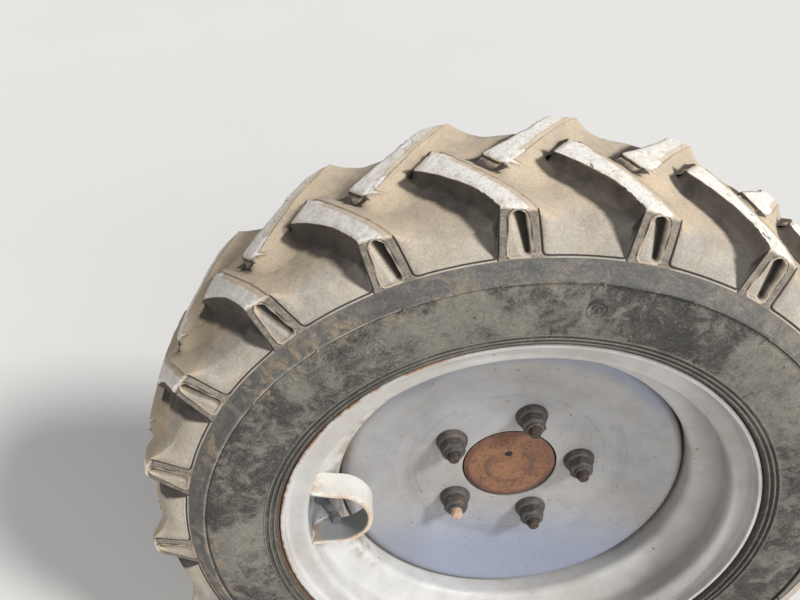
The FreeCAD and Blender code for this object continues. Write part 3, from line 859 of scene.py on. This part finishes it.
def tread_half(settings, columns_a_lug):
    """Points of one pitch of one half of the tread, from its ring to the centre line: inset, radius,
    angle and climb up the shoulder, and marks: worn top, painted slot shadow, shoulder face, painted shade."""
    pitch = CROWN_RADIUS * 2 * math.pi / settings.lug_count
    crown = CENTRE_INSET - SHOULDER_INSET
    across = 26
    inward = np.concatenate([np.zeros(len(SHOULDER_ROWS)), np.linspace(1.2, crown, across)])
    climb = np.concatenate([SHOULDER_ROWS, np.ones(across)])
    place = inward - 10 * (1 - climb)
    along = np.array([lug_columns(pitch, reach, 2 * crown - reach, columns_a_lug) for reach in place])
    climb = climb[:, None] + np.zeros(along.shape)
    on_shoulder = climb < 1
    ahead = unit((along + 8) / 20) * unit((34 - along) / 16)
    inward = inward[:, None] + LEAD_SETBACK * ahead * unit(1 - inward[:, None] / 30) * climb
    place = np.where(on_shoulder, place[:, None], inward)
    outside, away, lead_away = (np.full(along.shape, np.inf) for _ in range(3))
    depth = np.zeros(along.shape)
    for shift in (-pitch, 0, pitch):
        for reach, start in ((place, shift), (2 * crown - place, shift + pitch / 2)):
            found = lug_reach(reach, along - start)
            outside = np.minimum(outside, found[0])
            away = np.minimum(away, found[1])
            lead_away = np.minimum(lead_away, found[2])
            depth = np.maximum(depth, found[3])
    height = unit(1 - outside) ** 1.8
    u = unit(1 - inward / crown)
    bulge = np.sin(np.pi * climb)
    face_floor = RING_RADIUS + (FLOOR_EDGE_RADIUS - RING_RADIUS) * climb + bulge * 1.8
    face_top = RING_RADIUS + (SHOULDER_RADIUS + 1.5 * ahead - RING_RADIUS) * climb
    floor_radius = FLOOR_RADIUS - (FLOOR_RADIUS - FLOOR_EDGE_RADIUS) * u**5.3
    top_radius = CROWN_RADIUS - (CROWN_RADIUS - SHOULDER_RADIUS) * u**2.6
    floor_radius = np.where(on_shoulder, face_floor, floor_radius)
    top_radius = np.where(on_shoulder, face_top, top_radius)
    face_inset = RING_INSET + (SHOULDER_INSET - RING_INSET) * climb
    floor_inset = face_inset - bulge * 1.3
    worn = unit(1 - depth / 4.5) ** 2 * settings.edge_wear
    rim_wear = unit(1 - place / 4.0) ** 2 * (climb > 0.9) * 0.8
    radius = floor_radius + (top_radius - floor_radius) * height
    radius = radius - (worn + rim_wear) * (height > 0.98) * (climb > 0.9)
    inset = floor_inset + (face_inset - floor_inset) * height + inward
    side = away - 1.0
    foot = radius - RING_RADIUS - 2.0
    curve = 4.0
    turn = curve - np.hypot(np.maximum(curve - side, 0), np.maximum(curve - foot, 0))
    panel = np.where((side < curve) & (foot < curve), turn, np.minimum(side, foot))
    groove = 1.5 * bell(panel, 0.6) - 0.55 * bell(panel - 1.7, 0.9)
    inset = inset + groove * on_shoulder * unit((1 - climb) * 7)
    hole, rim, dark, outline = pocket(radius, along, settings)
    on_face = on_shoulder & (climb > 0) & (height > 0.6)
    inset = inset + np.where(on_face, hole - rim, 0)
    from_trail = unit((depth - 1.5) / 5.0)
    worn_top = unit((height - 0.82) / 0.16) * unit((climb - 0.93) / 0.07)
    near_lead = along - edge_at(TRAIL_EDGE, inward)
    fade = np.where((near_lead > -2) & (near_lead < 16), np.clip((near_lead - 2) / 7, 0.25, 1), 1.0)
    worn_top = worn_top * np.maximum(from_trail, 0.75) * fade * unit(depth * 2)
    facing = unit((1.0 - climb) * 12) * unit(height * 1.6 - 0.5)
    # Painted shade: a dark wedge below each lug's leading wall that widens up the shoulder, thin dark lines
    # along the panels' edges and round the slots.
    reach = 28.0 * np.clip(climb, 0.02, 1) ** 0.75
    shade = unit(1 - lead_away / reach) * unit((1 - height) * 9)
    shade = np.maximum(shade, on_shoulder * bell(panel, 0.7) * 0.8)
    shade = np.maximum(shade, on_face * outline * 0.6)
    worn_top = np.maximum(worn_top, on_face * np.clip(rim * 0.4, 0, 0.2))
    facing = facing * (1 - on_face * hole * (1 - dark))
    return inset, radius, along / CROWN_RADIUS, climb, worn_top, dark * on_face, facing, shade


def repeat_around(parts, count):
    """The grids of one pitch laid side by side once around the wheel."""
    inset, radius, angle, *marks = parts
    turns = [angle + k * 2 * math.pi / count for k in range(count)]
    return [np.tile(inset, count), np.tile(radius, count), np.hstack(turns)] + [
        np.tile(m, count) for m in marks
    ]


def build_tread(settings, material, name, far):
    """Half of the tread with its lugs. The far half mirrors the near one, half a pitch on."""
    parts = repeat_around(tread_half(settings, 42 if far else 50), settings.lug_count)
    inset, radius, angle, climb, *marks = parts
    angle = angle + math.radians(LUG_START_ANGLE)
    if far:
        inset = 2 * CENTRE_INSET - inset
        angle = angle + math.pi / settings.lug_count
    place = around_axis(inset, radius, angle)
    uneven = ripple(place, 34.0, 21) * 0.5 + ripple(place, 11.0, 22) * 0.3 + ripple(place, 4.5, 23) * 0.16
    radius = radius + uneven * unit((radius - RING_RADIUS) / 20.0)
    inset = inset + uneven * 0.35 * unit((radius - RING_RADIUS) / 5.0) * (climb < 1)
    points = around_axis(inset, radius, angle) * MM
    points[..., 1] += RIM_EDGE_Y
    faces = grid_faces(*inset.shape)
    if far:
        faces = [face[::-1] for face in faces]
    piece = add_mesh(name, points.reshape(-1, 3), faces, "wheel", material)
    # The slot and shaded marks carry painted shadow and painted shade.
    for label, values in zip(("worn_top", "slot", "shoulder_face", "shaded"), marks):
        mark = piece.data.attributes.new(label, "FLOAT", "POINT")
        mark.data.foreach_set("value", values.astype(np.float32).ravel())
    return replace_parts(piece, "tyre")


def wall_profile():
    """The sidewall from the rim's lip out to the shoulder ring, as (inset, radius) points."""
    corners = [
        (15.2, 203.6, 0), (14.8, 212.0, 5), (7.0, 224.5, 8), (-0.6, 226.8, 2), (-3.0, 228.6, 1.2),
        (-3.6, 230.6, 0.9), (-1.6, 231.8, 0.7), (-4.6, 233.4, 1.0), (-4.8, 235.2, 0.8),
        (-3.2, 236.4, 0.6), (-5.4, 237.6, 0.8), (-5.6, 239.4, 0.8), (-5.2, 240.6, 1.0),
        (-7.0, 250.0, 12), (-8.6, 268.0, 25), (-6.9, 286.5, 12), (-6.0, 291.3, 0.3),
        (-8.4, 292.2, 0.5), (-7.9, 294.8, 1.0), (0.6, 305.8, 2), (RING_INSET + 0.2, RING_RADIUS, 0),
    ]
    return rounded(corners, closed=False, steps=3)


def build_walls(material):
    """Both sidewalls, with their rings."""

    def uneven(insets, radii, angles):
        soft = ripple(around_axis(insets, radii, angles + 0 * radii), 70.0, 31) * 0.6
        fade = unit((radii - 230) / 15) * unit((RING_RADIUS - radii) / 8)
        return insets + soft * fade, radii

    for name, far in (("tyre_wall_outer", False), ("tyre_wall_inner", True)):
        path = wall_profile()
        if far:
            path = [Vector((2 * CENTRE_INSET - p.x, p.y)) for p in path]
        piece = turned(name, path, 480, "wheel", "tyre_rubber", material, closed=False, wobble=uneven)
        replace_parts(piece, "tyre")


def hair(angle, radius, inset, length, thick):
    """One short tapered rubber hair that stands off the sidewall."""
    centre = polar(angle, radius)
    points = []
    for step, size in ((0.0, 1.0), (0.7, 0.8), (1.0, 0.15)):
        for k in range(6):
            points.append(on_circle(centre, thick * size, k * math.pi / 3, inset - length * step))
    return points, grid_faces(3, 6) + [[17, 16, 15, 14, 13, 12]]


def tick(angle, start, end, inset):
    """A thin raised line across the sidewall, left by a joint of the mould."""
    points = []
    for radius, height in ((start, 0.2), (start + 1.5, 0.9), (end - 2.0, 0.8), (end, 0.1)):
        for offset, share in ((-0.9, -0.4), (-0.35, 1.0), (0.35, 1.0), (0.9, -0.4)):
            points.append(beside(angle, radius, offset, inset - 0.13 * (radius - start) - height * share))
    return points, grid_faces(4, 4, close_columns=False)


def ring_mark(angle, radius, inset, size):
    """A round mark on the sidewall: a low ring about a small nub."""
    centre = polar(angle, radius)
    points = []
    for k in range(28):
        turn = k * math.tau / 28
        for j in range(6):
            tube = j * math.tau / 6
            points.append(on_circle(centre, size + 0.7 * math.cos(tube), turn, inset - 0.6 * math.sin(tube)))
    return points, grid_faces(28, 6, close_rows=True)


def build_hairs(material):
    """Vent nubs, mould ticks and round marks on the outer sidewall."""
    dice = np.random.default_rng(8)
    parts = []
    for k in range(24):
        angle = 86.0 + k * 15.0
        parts.append(hair(angle + dice.uniform(-0.3, 0.3), MOULD_RADIUS + 0.5, -7.6, 4.4, 1.5))
        parts.append(hair(angle + 7.5 + dice.uniform(-1, 1), 283.0, -7.2, 1.2, 1.0))
        bead = angle - 8.6 + dice.uniform(-0.4, 0.4)
        parts.append(tick(bead, BEAD_TOP_RADIUS, 247.0 + dice.uniform(0, 2), -5.2))
        parts.append(hair(bead + 0.4, 249.0, -6.6, 3.2, 0.7))
        parts.append(hair(angle + 12.0, 262.0 + dice.uniform(-8, 8), -8.0, 1.4, 0.7))
    for angle in (85.5, 105.6, 123.3):
        for size in (4.2, 8.0):
            parts.append(ring_mark(angle, MARK_RADIUS, -8.3, size))
        parts.append(hair(angle, MARK_RADIUS, -8.2, 3.4, 1.4))
    return joined("tyre_vent_hairs", parts, "wheel", material)


# Rim, disc and guard


def build_rim(settings):
    """The drop-centre rim, rolled from one sheet: each skin's half from lip to well and its mirror image."""

    def mirror(corners):
        return [(2 * CENTRE_INSET - inset, radius, fillet) for inset, radius, fillet in corners[::-1]]

    outer = [
        (0.0, RIM_RADIUS, 1.4), (14.0, RIM_RADIUS, 12.0), (14.0, BEAD_SEAT_RADIUS, 3.0),
        (SEAT_END_INSET, BEAD_SEAT_RADIUS, 7.0), (WELL_START_INSET, WELL_RADIUS, 7.0),
    ]
    inner = [
        (47.6, WELL_RADIUS - RIM_GAUGE, 9.0), (33.6, BEAD_SEAT_RADIUS - RIM_GAUGE, 9.0),
        (10.0, BEAD_SEAT_RADIUS - RIM_GAUGE, 7.0), (10.0, RIM_RADIUS - RIM_GAUGE, 8.5),
        (0.0, RIM_RADIUS - RIM_GAUGE, 1.4),
    ]
    corners = outer + mirror(outer) + mirror(inner) + inner
    paint = wheel_paint("rim_paint", settings, (1.12, 1.11, 1.09), 0.5, lip=True)
    piece = turned("rim_shell", rounded(corners, steps=6), 384, "wheel", "silver_paint", paint)
    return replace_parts(piece, "rim")


def build_disc(settings):
    """The dished disc with a pressed ring and a rolled shoulder that fits inside the well."""
    outer = WELL_RADIUS - RIM_GAUGE - 0.25
    corners = [
        (DISC_INSET, 47.6, 0.8), (DISC_INSET, 108.0, 30.0), (60.5, 163.0, 9.0), (69.0, outer, 8.0),
        (95.5, outer, 0.8), (95.5, outer - DISC_GAUGE, 0.8), (72.0, outer - DISC_GAUGE, 5.0),
        (68.5, 160.0, 6.0), (DISC_INSET + DISC_GAUGE, 105.0, 30.0),
        (DISC_INSET + DISC_GAUGE, 47.6, 0.8),
    ]

    def pressed(insets, radii, angles):
        ring = bell(radii - 96.0, 2.5) * 0.7 + bell(radii - 117.0, 3.0) * 0.4
        uneven = ripple(around_axis(insets, radii, angles + 0 * radii), 90.0, 41) * 0.25
        return insets - ring + uneven * unit((radii - 60) / 40) * (radii < 150), radii

    path = refine(rounded(corners, steps=6), 6.0)
    # The disc wears a darker tint of the rim's paint: painted shade.
    paint = wheel_paint("disc_paint", settings, (0.77, 0.76, 0.76), 0.4, disc=True)
    piece = turned("disc_shell", path, 256, "wheel", "silver_paint", paint, wobble=pressed)
    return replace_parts(piece, "wheel_disc")


def refine(path, spacing):
    """A closed path with its long runs divided, so that a surface can be pressed in between."""
    result = []
    for here, ahead in zip(path, path[1:] + path[:1]):
        count = max(1, int((ahead - here).length / spacing))
        result += [here.lerp(ahead, k / count) for k in range(count)]
    return result


def strap_line():
    """The guard's outer line in its own plane: along its foot, round its bend and back, as
    (radius, offset, normal) points."""
    foot_half, half, middle = GUARD_FOOT_HALF, GUARD_HALF_WIDTH, GUARD_BEND_RADIUS
    foot = BEAD_SEAT_RADIUS - RIM_GAUGE + 0.6
    line = []
    lean = Vector((foot - middle, foot_half - half)).normalized()
    out = Vector((-lean.y, lean.x))
    for k in range(5):
        share = k / 5
        line.append((foot + (middle - foot) * share, foot_half + (half - foot_half) * share, out))
    arc = 28
    for k in range(arc + 1):
        turn = math.pi / 2 + math.pi * k / arc
        normal = Vector((math.cos(turn), math.sin(turn)))
        line.append((middle + half * normal.x, half * normal.y, normal))
    for radius, offset, normal in line[4::-1]:
        line.append((radius, -offset, Vector((normal.x, -normal.y))))
    return line


def build_guard(settings):
    """The bent strap that guards the valve, and its weld beads."""
    gauge, near, far, soft = GUARD_GAUGE, GUARD_NEAR, 40.0, 1.3
    section = []
    for inset, depth, start in ((near, 0, 180), (far, 0, 270), (far, gauge, 0), (near, gauge, 90)):
        middle_inset = inset + (soft if inset == near else -soft)
        middle_depth = depth + (soft if depth == 0 else -soft)
        for step in range(4):
            turn = math.radians(start + step * 30)
            section.append((middle_inset + soft * math.cos(turn), middle_depth + soft * math.sin(turn)))
    line = strap_line()
    points = []
    for k, (radius, offset, normal) in enumerate(line):
        bow = 0.5 * math.sin(k * 0.7)
        for inset, depth in section:
            place = (radius - normal.x * depth, offset - normal.y * depth, inset + bow * 0.5)
            points.append(beside(GUARD_ANGLE, *place))
    faces = tube_faces(len(line), len(section))
    paint = wheel_paint("guard_paint", settings, (1.45, 1.43, 1.34), 0.1, guard=True)
    strap = add_mesh("guard_strap", points, faces, "wheel", paint)
    weld_axis(strap)
    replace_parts(strap, "valve_guard")
    foot = BEAD_SEAT_RADIUS - RIM_GAUGE
    beads = []
    for side in (1, -1):
        for offset in (38.3, 32.6):
            beads.append(weld_bead(foot - 0.8, side * offset, near + 1, far - 1, 2.6, 51 + side))
    welds = joined("guard_welds", beads, "wheel", weld_metal())
    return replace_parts(welds, "valve_guard")


def weld_bead(radius, offset, start, end, thick, seed):
    """A lumpy weld bead along the strap's foot, as points and faces."""
    dice = np.random.default_rng(seed)
    rings = 34
    points = []
    for k in range(rings):
        share = k / (rings - 1)
        size = thick * (1 + 0.16 * math.sin(k * 1.9) + dice.uniform(-0.07, 0.07))
        size *= math.sqrt(max(0.02, 1 - (2 * share - 1) ** 8))
        for j in range(10):
            turn = j * math.tau / 10
            place = (radius + size * math.cos(turn), offset + size * math.sin(turn))
            points.append(beside(GUARD_ANGLE, *place, start + (end - start) * share))
    return points, tube_faces(rings, 10)


def weld_metal():
    """Painted weld that rusts through."""
    s = Shader("weld_metal", Specular_IOR_Level=0.4)
    speck = s.noise(200.0, 4.0, 0.65)
    cloud = s.noise(60.0, 3.0, 0.6)
    rust = s.mix(s.band(speck, 0.4, 0.65), (0.24, 0.10, 0.04), (0.42, 0.21, 0.09))
    colour = s.mix(s.band(cloud, 0.42, 0.58), rust, (0.52, 0.50, 0.47))
    return s.finish(colour, 0.65, s.bump(speck, 0.0006, 0.8))


# Hub, studs, nuts and valve


def build_hub():
    """The hub with its dished, rusted face, flange, boss and shaft, and a dark disc in its face that paints
    the shade of its centre hole.
    """
    face = DISC_INSET - 1.4
    seat = DISC_INSET + DISC_GAUGE + 0.1
    back = DISC_INSET + DISC_GAUGE + HUB_FLANGE_GAUGE
    boss = back + HUB_BOSS_LENGTH
    end = (SHAFT_END_Y - RIM_EDGE_Y) / MM
    corners = [
        (face + 0.9, 0.0, 0), (face + 0.8, 16.0, 6.0), (face + 0.1, 22.0, 3.0),
        (face + 0.5, 26.0, 2.0), (face, 31.0, 3.0), (face, 41.6, 1.5),
        (face + 2.6, HUB_RADIUS, 0.6), (seat, HUB_RADIUS, 0.4), (seat, HUB_FLANGE_RADIUS, 1.0),
        (back, HUB_FLANGE_RADIUS, 1.0), (back, HUB_BOSS_RADIUS, 4.0), (boss, HUB_BOSS_RADIUS, 1.0),
        (boss, SHAFT_RADIUS, 0.6), (end, SHAFT_RADIUS, 1.0), (end, SOCKET_RADIUS, 0.8),
        (end - SOCKET_DEPTH, SOCKET_RADIUS, 0.5), (end - SOCKET_DEPTH, 0.0, 0),
    ]
    # A dark disc just proud of the face: painted shade of the centre hole.
    mark = ((face - 0.05, 0.0), (face - 0.05, 3.3), (face + 0.1, 3.7), (face + 1.4, 3.9))
    hole = stud_steel("hub_hole_shade", (0.016, 0.012, 0.01), (0.03, 0.02, 0.016))
    centre = (-0.003, 0.017)
    hole_shade_disc = turned("hub_centre_hole_shade", mark, 20, "wheel", "dark_steel", hole, closed=False, centre=centre)
    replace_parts(hole_shade_disc, "hub")
    rust = rusted_steel("hub_rust", (0.29, 0.145, 0.080), (0.20, 0.10, 0.06), HUB_RADIUS)
    path = rounded(corners, closed=False, steps=4)
    piece = turned("hub_body", path, 160, "wheel", "rusty_steel", rust, closed=False)
    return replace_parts(piece, "hub")


def build_fastening(number, nut, stud):
    """One stud with its collar and nut."""
    angle = FIRST_STUD_ANGLE + (number - 1) * 360.0 / STUD_COUNT
    centre = polar(angle, STUD_CIRCLE_RADIUS)
    base = DISC_INSET
    collar = [
        (base - 0.05, 7.2, 0.3), (base - 0.05, 15.7, 0.6), (base - 1.6, 15.7, 1.0),
        (base - 6.2, 14.0, 3.2), (base - COLLAR_HEIGHT, 11.2, 1.2),
        (base - COLLAR_HEIGHT, 7.2, 0.3),
    ]
    path = rounded(collar, steps=5)
    piece = turned(f"collar_{number}", path, 64, "wheel", "dark_steel", nut, centre=centre)
    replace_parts(piece, f"nut_collar_{number}")
    tip = base - STUD_REACH
    start = base - 19.0
    thread = [(DISC_INSET + 6.0, 0.0), (DISC_INSET + 6.0, 5.7), (start, 5.7)]
    pitch = 1.5
    for k in range(int((start - tip - 1.5) / pitch)):
        here = start - k * pitch
        thread += [(here, 5.0), (here - 0.25, 5.0), (here - 0.7, 5.75), (here - 0.95, 5.75)]
    thread += [(tip + 0.9, 5.1), (tip + 0.2, 4.4), (tip, 3.8), (tip + 0.15, 0.0)]
    shape = {"closed": False, "centre": centre}
    piece = turned(f"stud_{number}", thread, 40, "wheel", "dark_steel", stud, **shape)
    near = DISC_INSET + DISC_GAUGE + HUB_FLANGE_GAUGE + 0.05
    far = near + 5.9
    path = rounded([(near, 0, 0), (near, 10.9, 0.5), (far, 10.9, 1.6), (far, 0, 0)], closed=False)
    head = turned(f"stud_head_{number}", path, 36, "wheel", "dark_steel", nut, **shape)
    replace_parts(piece, f"wheel_stud_{number}")
    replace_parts(head, f"wheel_stud_{number}")
    build_nut(number, angle, centre, base - COLLAR_HEIGHT, nut)


def build_nut(number, angle, centre, base, material):
    """A worn hexagon nut. A level with no radius of its own follows the hexagon up to its limit."""
    half = 11.0
    widest = 12.35
    free = 99.0
    height = 9.5
    segments = 72
    turns = np.linspace(0, 2 * np.pi, segments, endpoint=False)
    corner = half / np.cos((turns + np.pi / 6) % (np.pi / 3) - np.pi / 6)
    corner = np.minimum(corner, widest)
    levels = [
        (0.0, 5.9, free), (0.0, 0.0, 11.6), (0.5, 0.0, 12.4), (1.2, 0.0, free),
        (height - 2.4, 0.0, free), (height - 1.5, 0.0, 12.2), (height - 0.6, 0.0, 11.3),
        (height, 0.0, 10.2), (height + 0.1, 8.7, free), (height + 0.5, 8.3, free),
        (height + 2.6, 8.1, free), (height + 3.2, 7.6, free), (height + 3.3, 6.2, free),
        (height + 2.4, 5.72, free), (0.2, 5.72, free),
    ]
    points = []
    for level, fixed, limit in levels:
        radii = np.full(segments, fixed) if fixed else np.minimum(corner, limit)
        for radius, turn in zip(radii, turns + math.radians(angle)):
            points.append(on_circle(centre, radius, turn, base - level))
    faces = grid_faces(len(levels), segments, close_rows=True)
    piece = add_mesh(f"nut_{number}", points, faces, "wheel", material)
    weld_axis(piece)
    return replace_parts(piece, f"wheel_nut_{number}")


def build_valve(rubber, cap_black):
    """The snap-in valve: a rubber foot and stem, a plain end and a ribbed cap."""
    drop = BEAD_SEAT_RADIUS - WELL_RADIUS
    run = WELL_START_INSET - SEAT_END_INSET
    slope = math.atan2(drop, run)
    radius = BEAD_SEAT_RADIUS - drop / 2 - RIM_GAUGE * math.cos(slope)
    inset = SEAT_END_INSET + run / 2 - RIM_GAUGE * math.sin(slope)
    turn = math.radians(GUARD_ANGLE)
    start = Vector((radius * math.cos(turn), inset, radius * math.sin(turn)))
    out = Vector((-math.cos(slope) * math.cos(turn), -math.sin(slope), -math.cos(slope) * math.sin(turn)))
    across = out.orthogonal().normalized()
    other = out.cross(across)

    def along(path, segments, ribs=0):
        points = []
        for distance, size in path:
            for k in range(segments):
                t = k * math.tau / segments
                grip = size * (1 + (0.05 * math.cos(ribs * t) if ribs and 2 < distance - 24 < 8 else 0))
                p = start + out * distance + (across * math.cos(t) + other * math.sin(t)) * grip
                points.append((p.x * MM, station(p.y), p.z * MM))
        return points, tube_faces(len(path), segments)

    stem = [(0.2, 7.8), (1.4, 8.0), (2.6, 7.2), (4.2, 5.6), (7.0, 4.6), (16.0, 3.9), (19.5, 3.7)]
    stem += [(20.2, 3.2), (23.8, 3.2)]
    piece = joined("valve_body", [along(stem, 32)], "wheel", rubber)
    weld_axis(piece)
    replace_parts(piece, "valve_stem")
    cap = [(23.9, 4.6), (24.2, 5.2), (25.6, 5.3), (26.0, 5.0), (31.6, 4.9), (32.4, 4.5), (32.9, 3.4)]
    ribbed = along(refine_pairs(cap), 72, ribs=18)
    piece = joined("valve_cap_ribbed", [ribbed], "wheel", cap_black)
    weld_axis(piece)
    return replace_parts(piece, "valve_cap")


def refine_pairs(path):
    """The path with a point added midway along each of its runs."""
    result = [path[0]]
    for (a, b), (c, d) in zip(path, path[1:]):
        result += [((a + c) / 2, (b + d) / 2), (c, d)]
    return result


# Stage


def build_stage(settings):
    """The floor, the lamps and the camera."""
    level = -CROWN_RADIUS * MM
    corners = [(x * FLOOR_REACH, y * FLOOR_REACH, level) for x, y in ((-1, -1), (1, -1), (1, 1), (-1, 1))]
    mesh = bpy.data.meshes.new("floor")
    mesh.from_pydata(corners, [], [(0, 1, 2, 3)])
    floor = bpy.data.objects.new("floor", mesh)
    mesh.materials.append(floor_finish(settings))
    bpy.context.scene.collection.objects.link(floor)
    add_sun("key_sun", (0.55, -0.42, 0.72), 11.0, settings.key_strength)
    add_sun("front_sun", (0.35, -0.92, 0.25), 50.0, settings.side_strength)
    add_sun("back_sun", (0.25, 0.88, 0.42), 50.0, settings.side_strength * 0.5)
    add_world(settings)
    add_camera()
    bpy.context.scene.view_settings.view_transform = "Standard"


def add_world(settings):
    """Even light from all round, with the pale backdrop where the camera and reflections see it."""
    world = bpy.data.worlds.new("studio")
    bpy.context.scene.world = world
    world.use_nodes = True
    tree = world.node_tree
    fill = tree.nodes["Background"]
    fill.inputs["Color"].default_value = (0.97, 0.98, 1.0, 1.0)
    fill.inputs["Strength"].default_value = settings.fill_strength
    backdrop = tree.nodes.new("ShaderNodeBackground")
    backdrop.inputs["Color"].default_value = (*settings.backdrop, 1.0)
    path = tree.nodes.new("ShaderNodeLightPath")
    seen = path.outputs["Is Camera Ray"]
    for ray in ("Is Glossy Ray", "Is Transmission Ray"):
        either = tree.nodes.new("ShaderNodeMath")
        either.operation = "MAXIMUM"
        tree.links.new(seen, either.inputs[0])
        tree.links.new(path.outputs[ray], either.inputs[1])
        seen = either.outputs[0]
    choice = tree.nodes.new("ShaderNodeMixShader")
    tree.links.new(seen, choice.inputs[0])
    tree.links.new(fill.outputs[0], choice.inputs[1])
    tree.links.new(backdrop.outputs[0], choice.inputs[2])
    tree.links.new(choice.outputs[0], tree.nodes["World Output"].inputs["Surface"])


def add_sun(name, direction, width, strength):
    """A soft sun that shines from a direction, with its width in degrees."""
    lamp = bpy.data.lights.new(name, "SUN")
    lamp.angle = math.radians(width)
    lamp.energy = strength
    holder = bpy.data.objects.new(name, lamp)
    holder.location = Vector(direction) * 3
    holder.rotation_euler = (-Vector(direction)).to_track_quat("-Z", "Y").to_euler()
    bpy.context.scene.collection.objects.link(holder)


def add_camera():
    """The camera where the photograph was taken from."""
    camera = bpy.data.cameras.new("camera")
    camera.sensor_width = SENSOR_WIDTH
    camera.lens = CAMERA_LENS
    camera.clip_start = 0.02
    holder = bpy.data.objects.new("camera", camera)
    right = Vector(CAMERA_RIGHT).normalized()
    ahead = Vector(CAMERA_AHEAD).normalized()
    up = right.cross(ahead).normalized()
    right = ahead.cross(up)
    turn = Matrix((right, up, -ahead)).transposed().to_4x4()
    turn.translation = Vector(CAMERA_PLACE) + Vector((0.0, RIM_EDGE_Y, 0.0))
    holder.matrix_world = turn
    bpy.context.scene.collection.objects.link(holder)
    bpy.context.scene.camera = holder


def dress(node, material):
    """Gives a CAD node a finish in place of its plain one."""
    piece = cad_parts[node]
    piece.data.materials.clear()
    piece.data.materials.append(material)


# Operators, panel and main


class WHEEL_OT_tyre(bpy.types.Operator):
    """Build the tyre's tread, sidewalls and vent hairs"""

    bl_idname = "wheel.tyre"
    bl_label = "Tyre"

    def execute(self, context):
        settings = context.scene.wheel_tyre
        tread = tread_rubber(settings)
        build_tread(settings, tread, "tyre_tread_outer", far=False)
        build_tread(settings, tread, "tyre_tread_inner", far=True)
        wall = wall_rubber()
        build_walls(wall)
        build_hairs(wall)
        return {"FINISHED"}


class WHEEL_OT_rim(bpy.types.Operator):
    """Build the drop-centre rim"""

    bl_idname = "wheel.rim"
    bl_label = "Rim"

    def execute(self, context):
        build_rim(context.scene.wheel_finish)
        return {"FINISHED"}


class WHEEL_OT_disc(bpy.types.Operator):
    """Build the dished disc"""

    bl_idname = "wheel.disc"
    bl_label = "Disc"

    def execute(self, context):
        build_disc(context.scene.wheel_finish)
        return {"FINISHED"}


class WHEEL_OT_guard(bpy.types.Operator):
    """Build the valve and the strap that guards it"""

    bl_idname = "wheel.guard"
    bl_label = "Valve and guard"

    def execute(self, context):
        build_guard(context.scene.wheel_finish)
        rubber = black_rubber("valve_rubber", (0.15, 0.155, 0.165))
        build_valve(rubber, black_rubber("cap_plastic", (0.09, 0.095, 0.10)))
        return {"FINISHED"}


class WHEEL_OT_hub(bpy.types.Operator):
    """Build the hub, its studs, collars and nuts"""

    bl_idname = "wheel.hub"
    bl_label = "Hub and nuts"

    def execute(self, context):
        build_hub()
        nut = nut_steel()
        rusty = stud_steel("stud_rust", (0.035, 0.027, 0.024), (0.085, 0.052, 0.042))
        muddy = stud_steel("stud_mud", (0.42, 0.28, 0.20), (0.60, 0.43, 0.34))
        for number in range(1, STUD_COUNT + 1):
            build_fastening(number, nut, muddy if number == MUDDY_STUD else rusty)
        return {"FINISHED"}


class WHEEL_OT_axle(bpy.types.Operator):
    """Finish the bearing housing, its seal and the lock nut"""

    bl_idname = "wheel.axle"
    bl_label = "Axle end"

    def execute(self, context):
        dress("axle_housing", housing_paint())
        dress("seal_ring", black_rubber("seal_black", (0.025, 0.025, 0.028)))
        dress("lock_nut", rusted_steel("lock_nut_steel", (0.12, 0.085, 0.07), (0.07, 0.055, 0.05)))
        return {"FINISHED"}


class WHEEL_OT_stage(bpy.types.Operator):
    """Set up the floor, lamps and camera"""

    bl_idname = "wheel.stage"
    bl_label = "Stage"

    def execute(self, context):
        build_stage(context.scene.wheel_stage)
        return {"FINISHED"}


class WHEEL_PT_panel(bpy.types.Panel):
    """The builders of the wheel, in the order that main runs them"""

    bl_label = "Off-road wheel"
    bl_idname = "WHEEL_PT_panel"
    bl_space_type = "VIEW_3D"
    bl_region_type = "UI"
    bl_category = "Wheel"

    def draw(self, context):
        for operator in OPERATORS:
            self.layout.operator(operator.bl_idname)


SETTINGS = {"wheel_tyre": TyreSettings, "wheel_finish": WheelSettings, "wheel_stage": StageSettings}
OPERATORS = (
    WHEEL_OT_tyre,
    WHEEL_OT_rim,
    WHEEL_OT_disc,
    WHEEL_OT_guard,
    WHEEL_OT_hub,
    WHEEL_OT_axle,
    WHEEL_OT_stage,
)


def register():
    for kind in (*SETTINGS.values(), *OPERATORS, WHEEL_PT_panel):
        bpy.utils.register_class(kind)
    for name, kind in SETTINGS.items():
        setattr(bpy.types.Scene, name, PointerProperty(type=kind))


def unregister():
    for name in SETTINGS:
        delattr(bpy.types.Scene, name)
    for kind in (WHEEL_PT_panel, *reversed(OPERATORS), *SETTINGS.values()):
        bpy.utils.unregister_class(kind)


def main():
    register()
    bpy.ops.wheel.tyre()
    bpy.ops.wheel.rim()
    bpy.ops.wheel.disc()
    bpy.ops.wheel.guard()
    bpy.ops.wheel.hub()
    bpy.ops.wheel.axle()
    bpy.ops.wheel.stage()


if __name__ == "__main__":
    main()
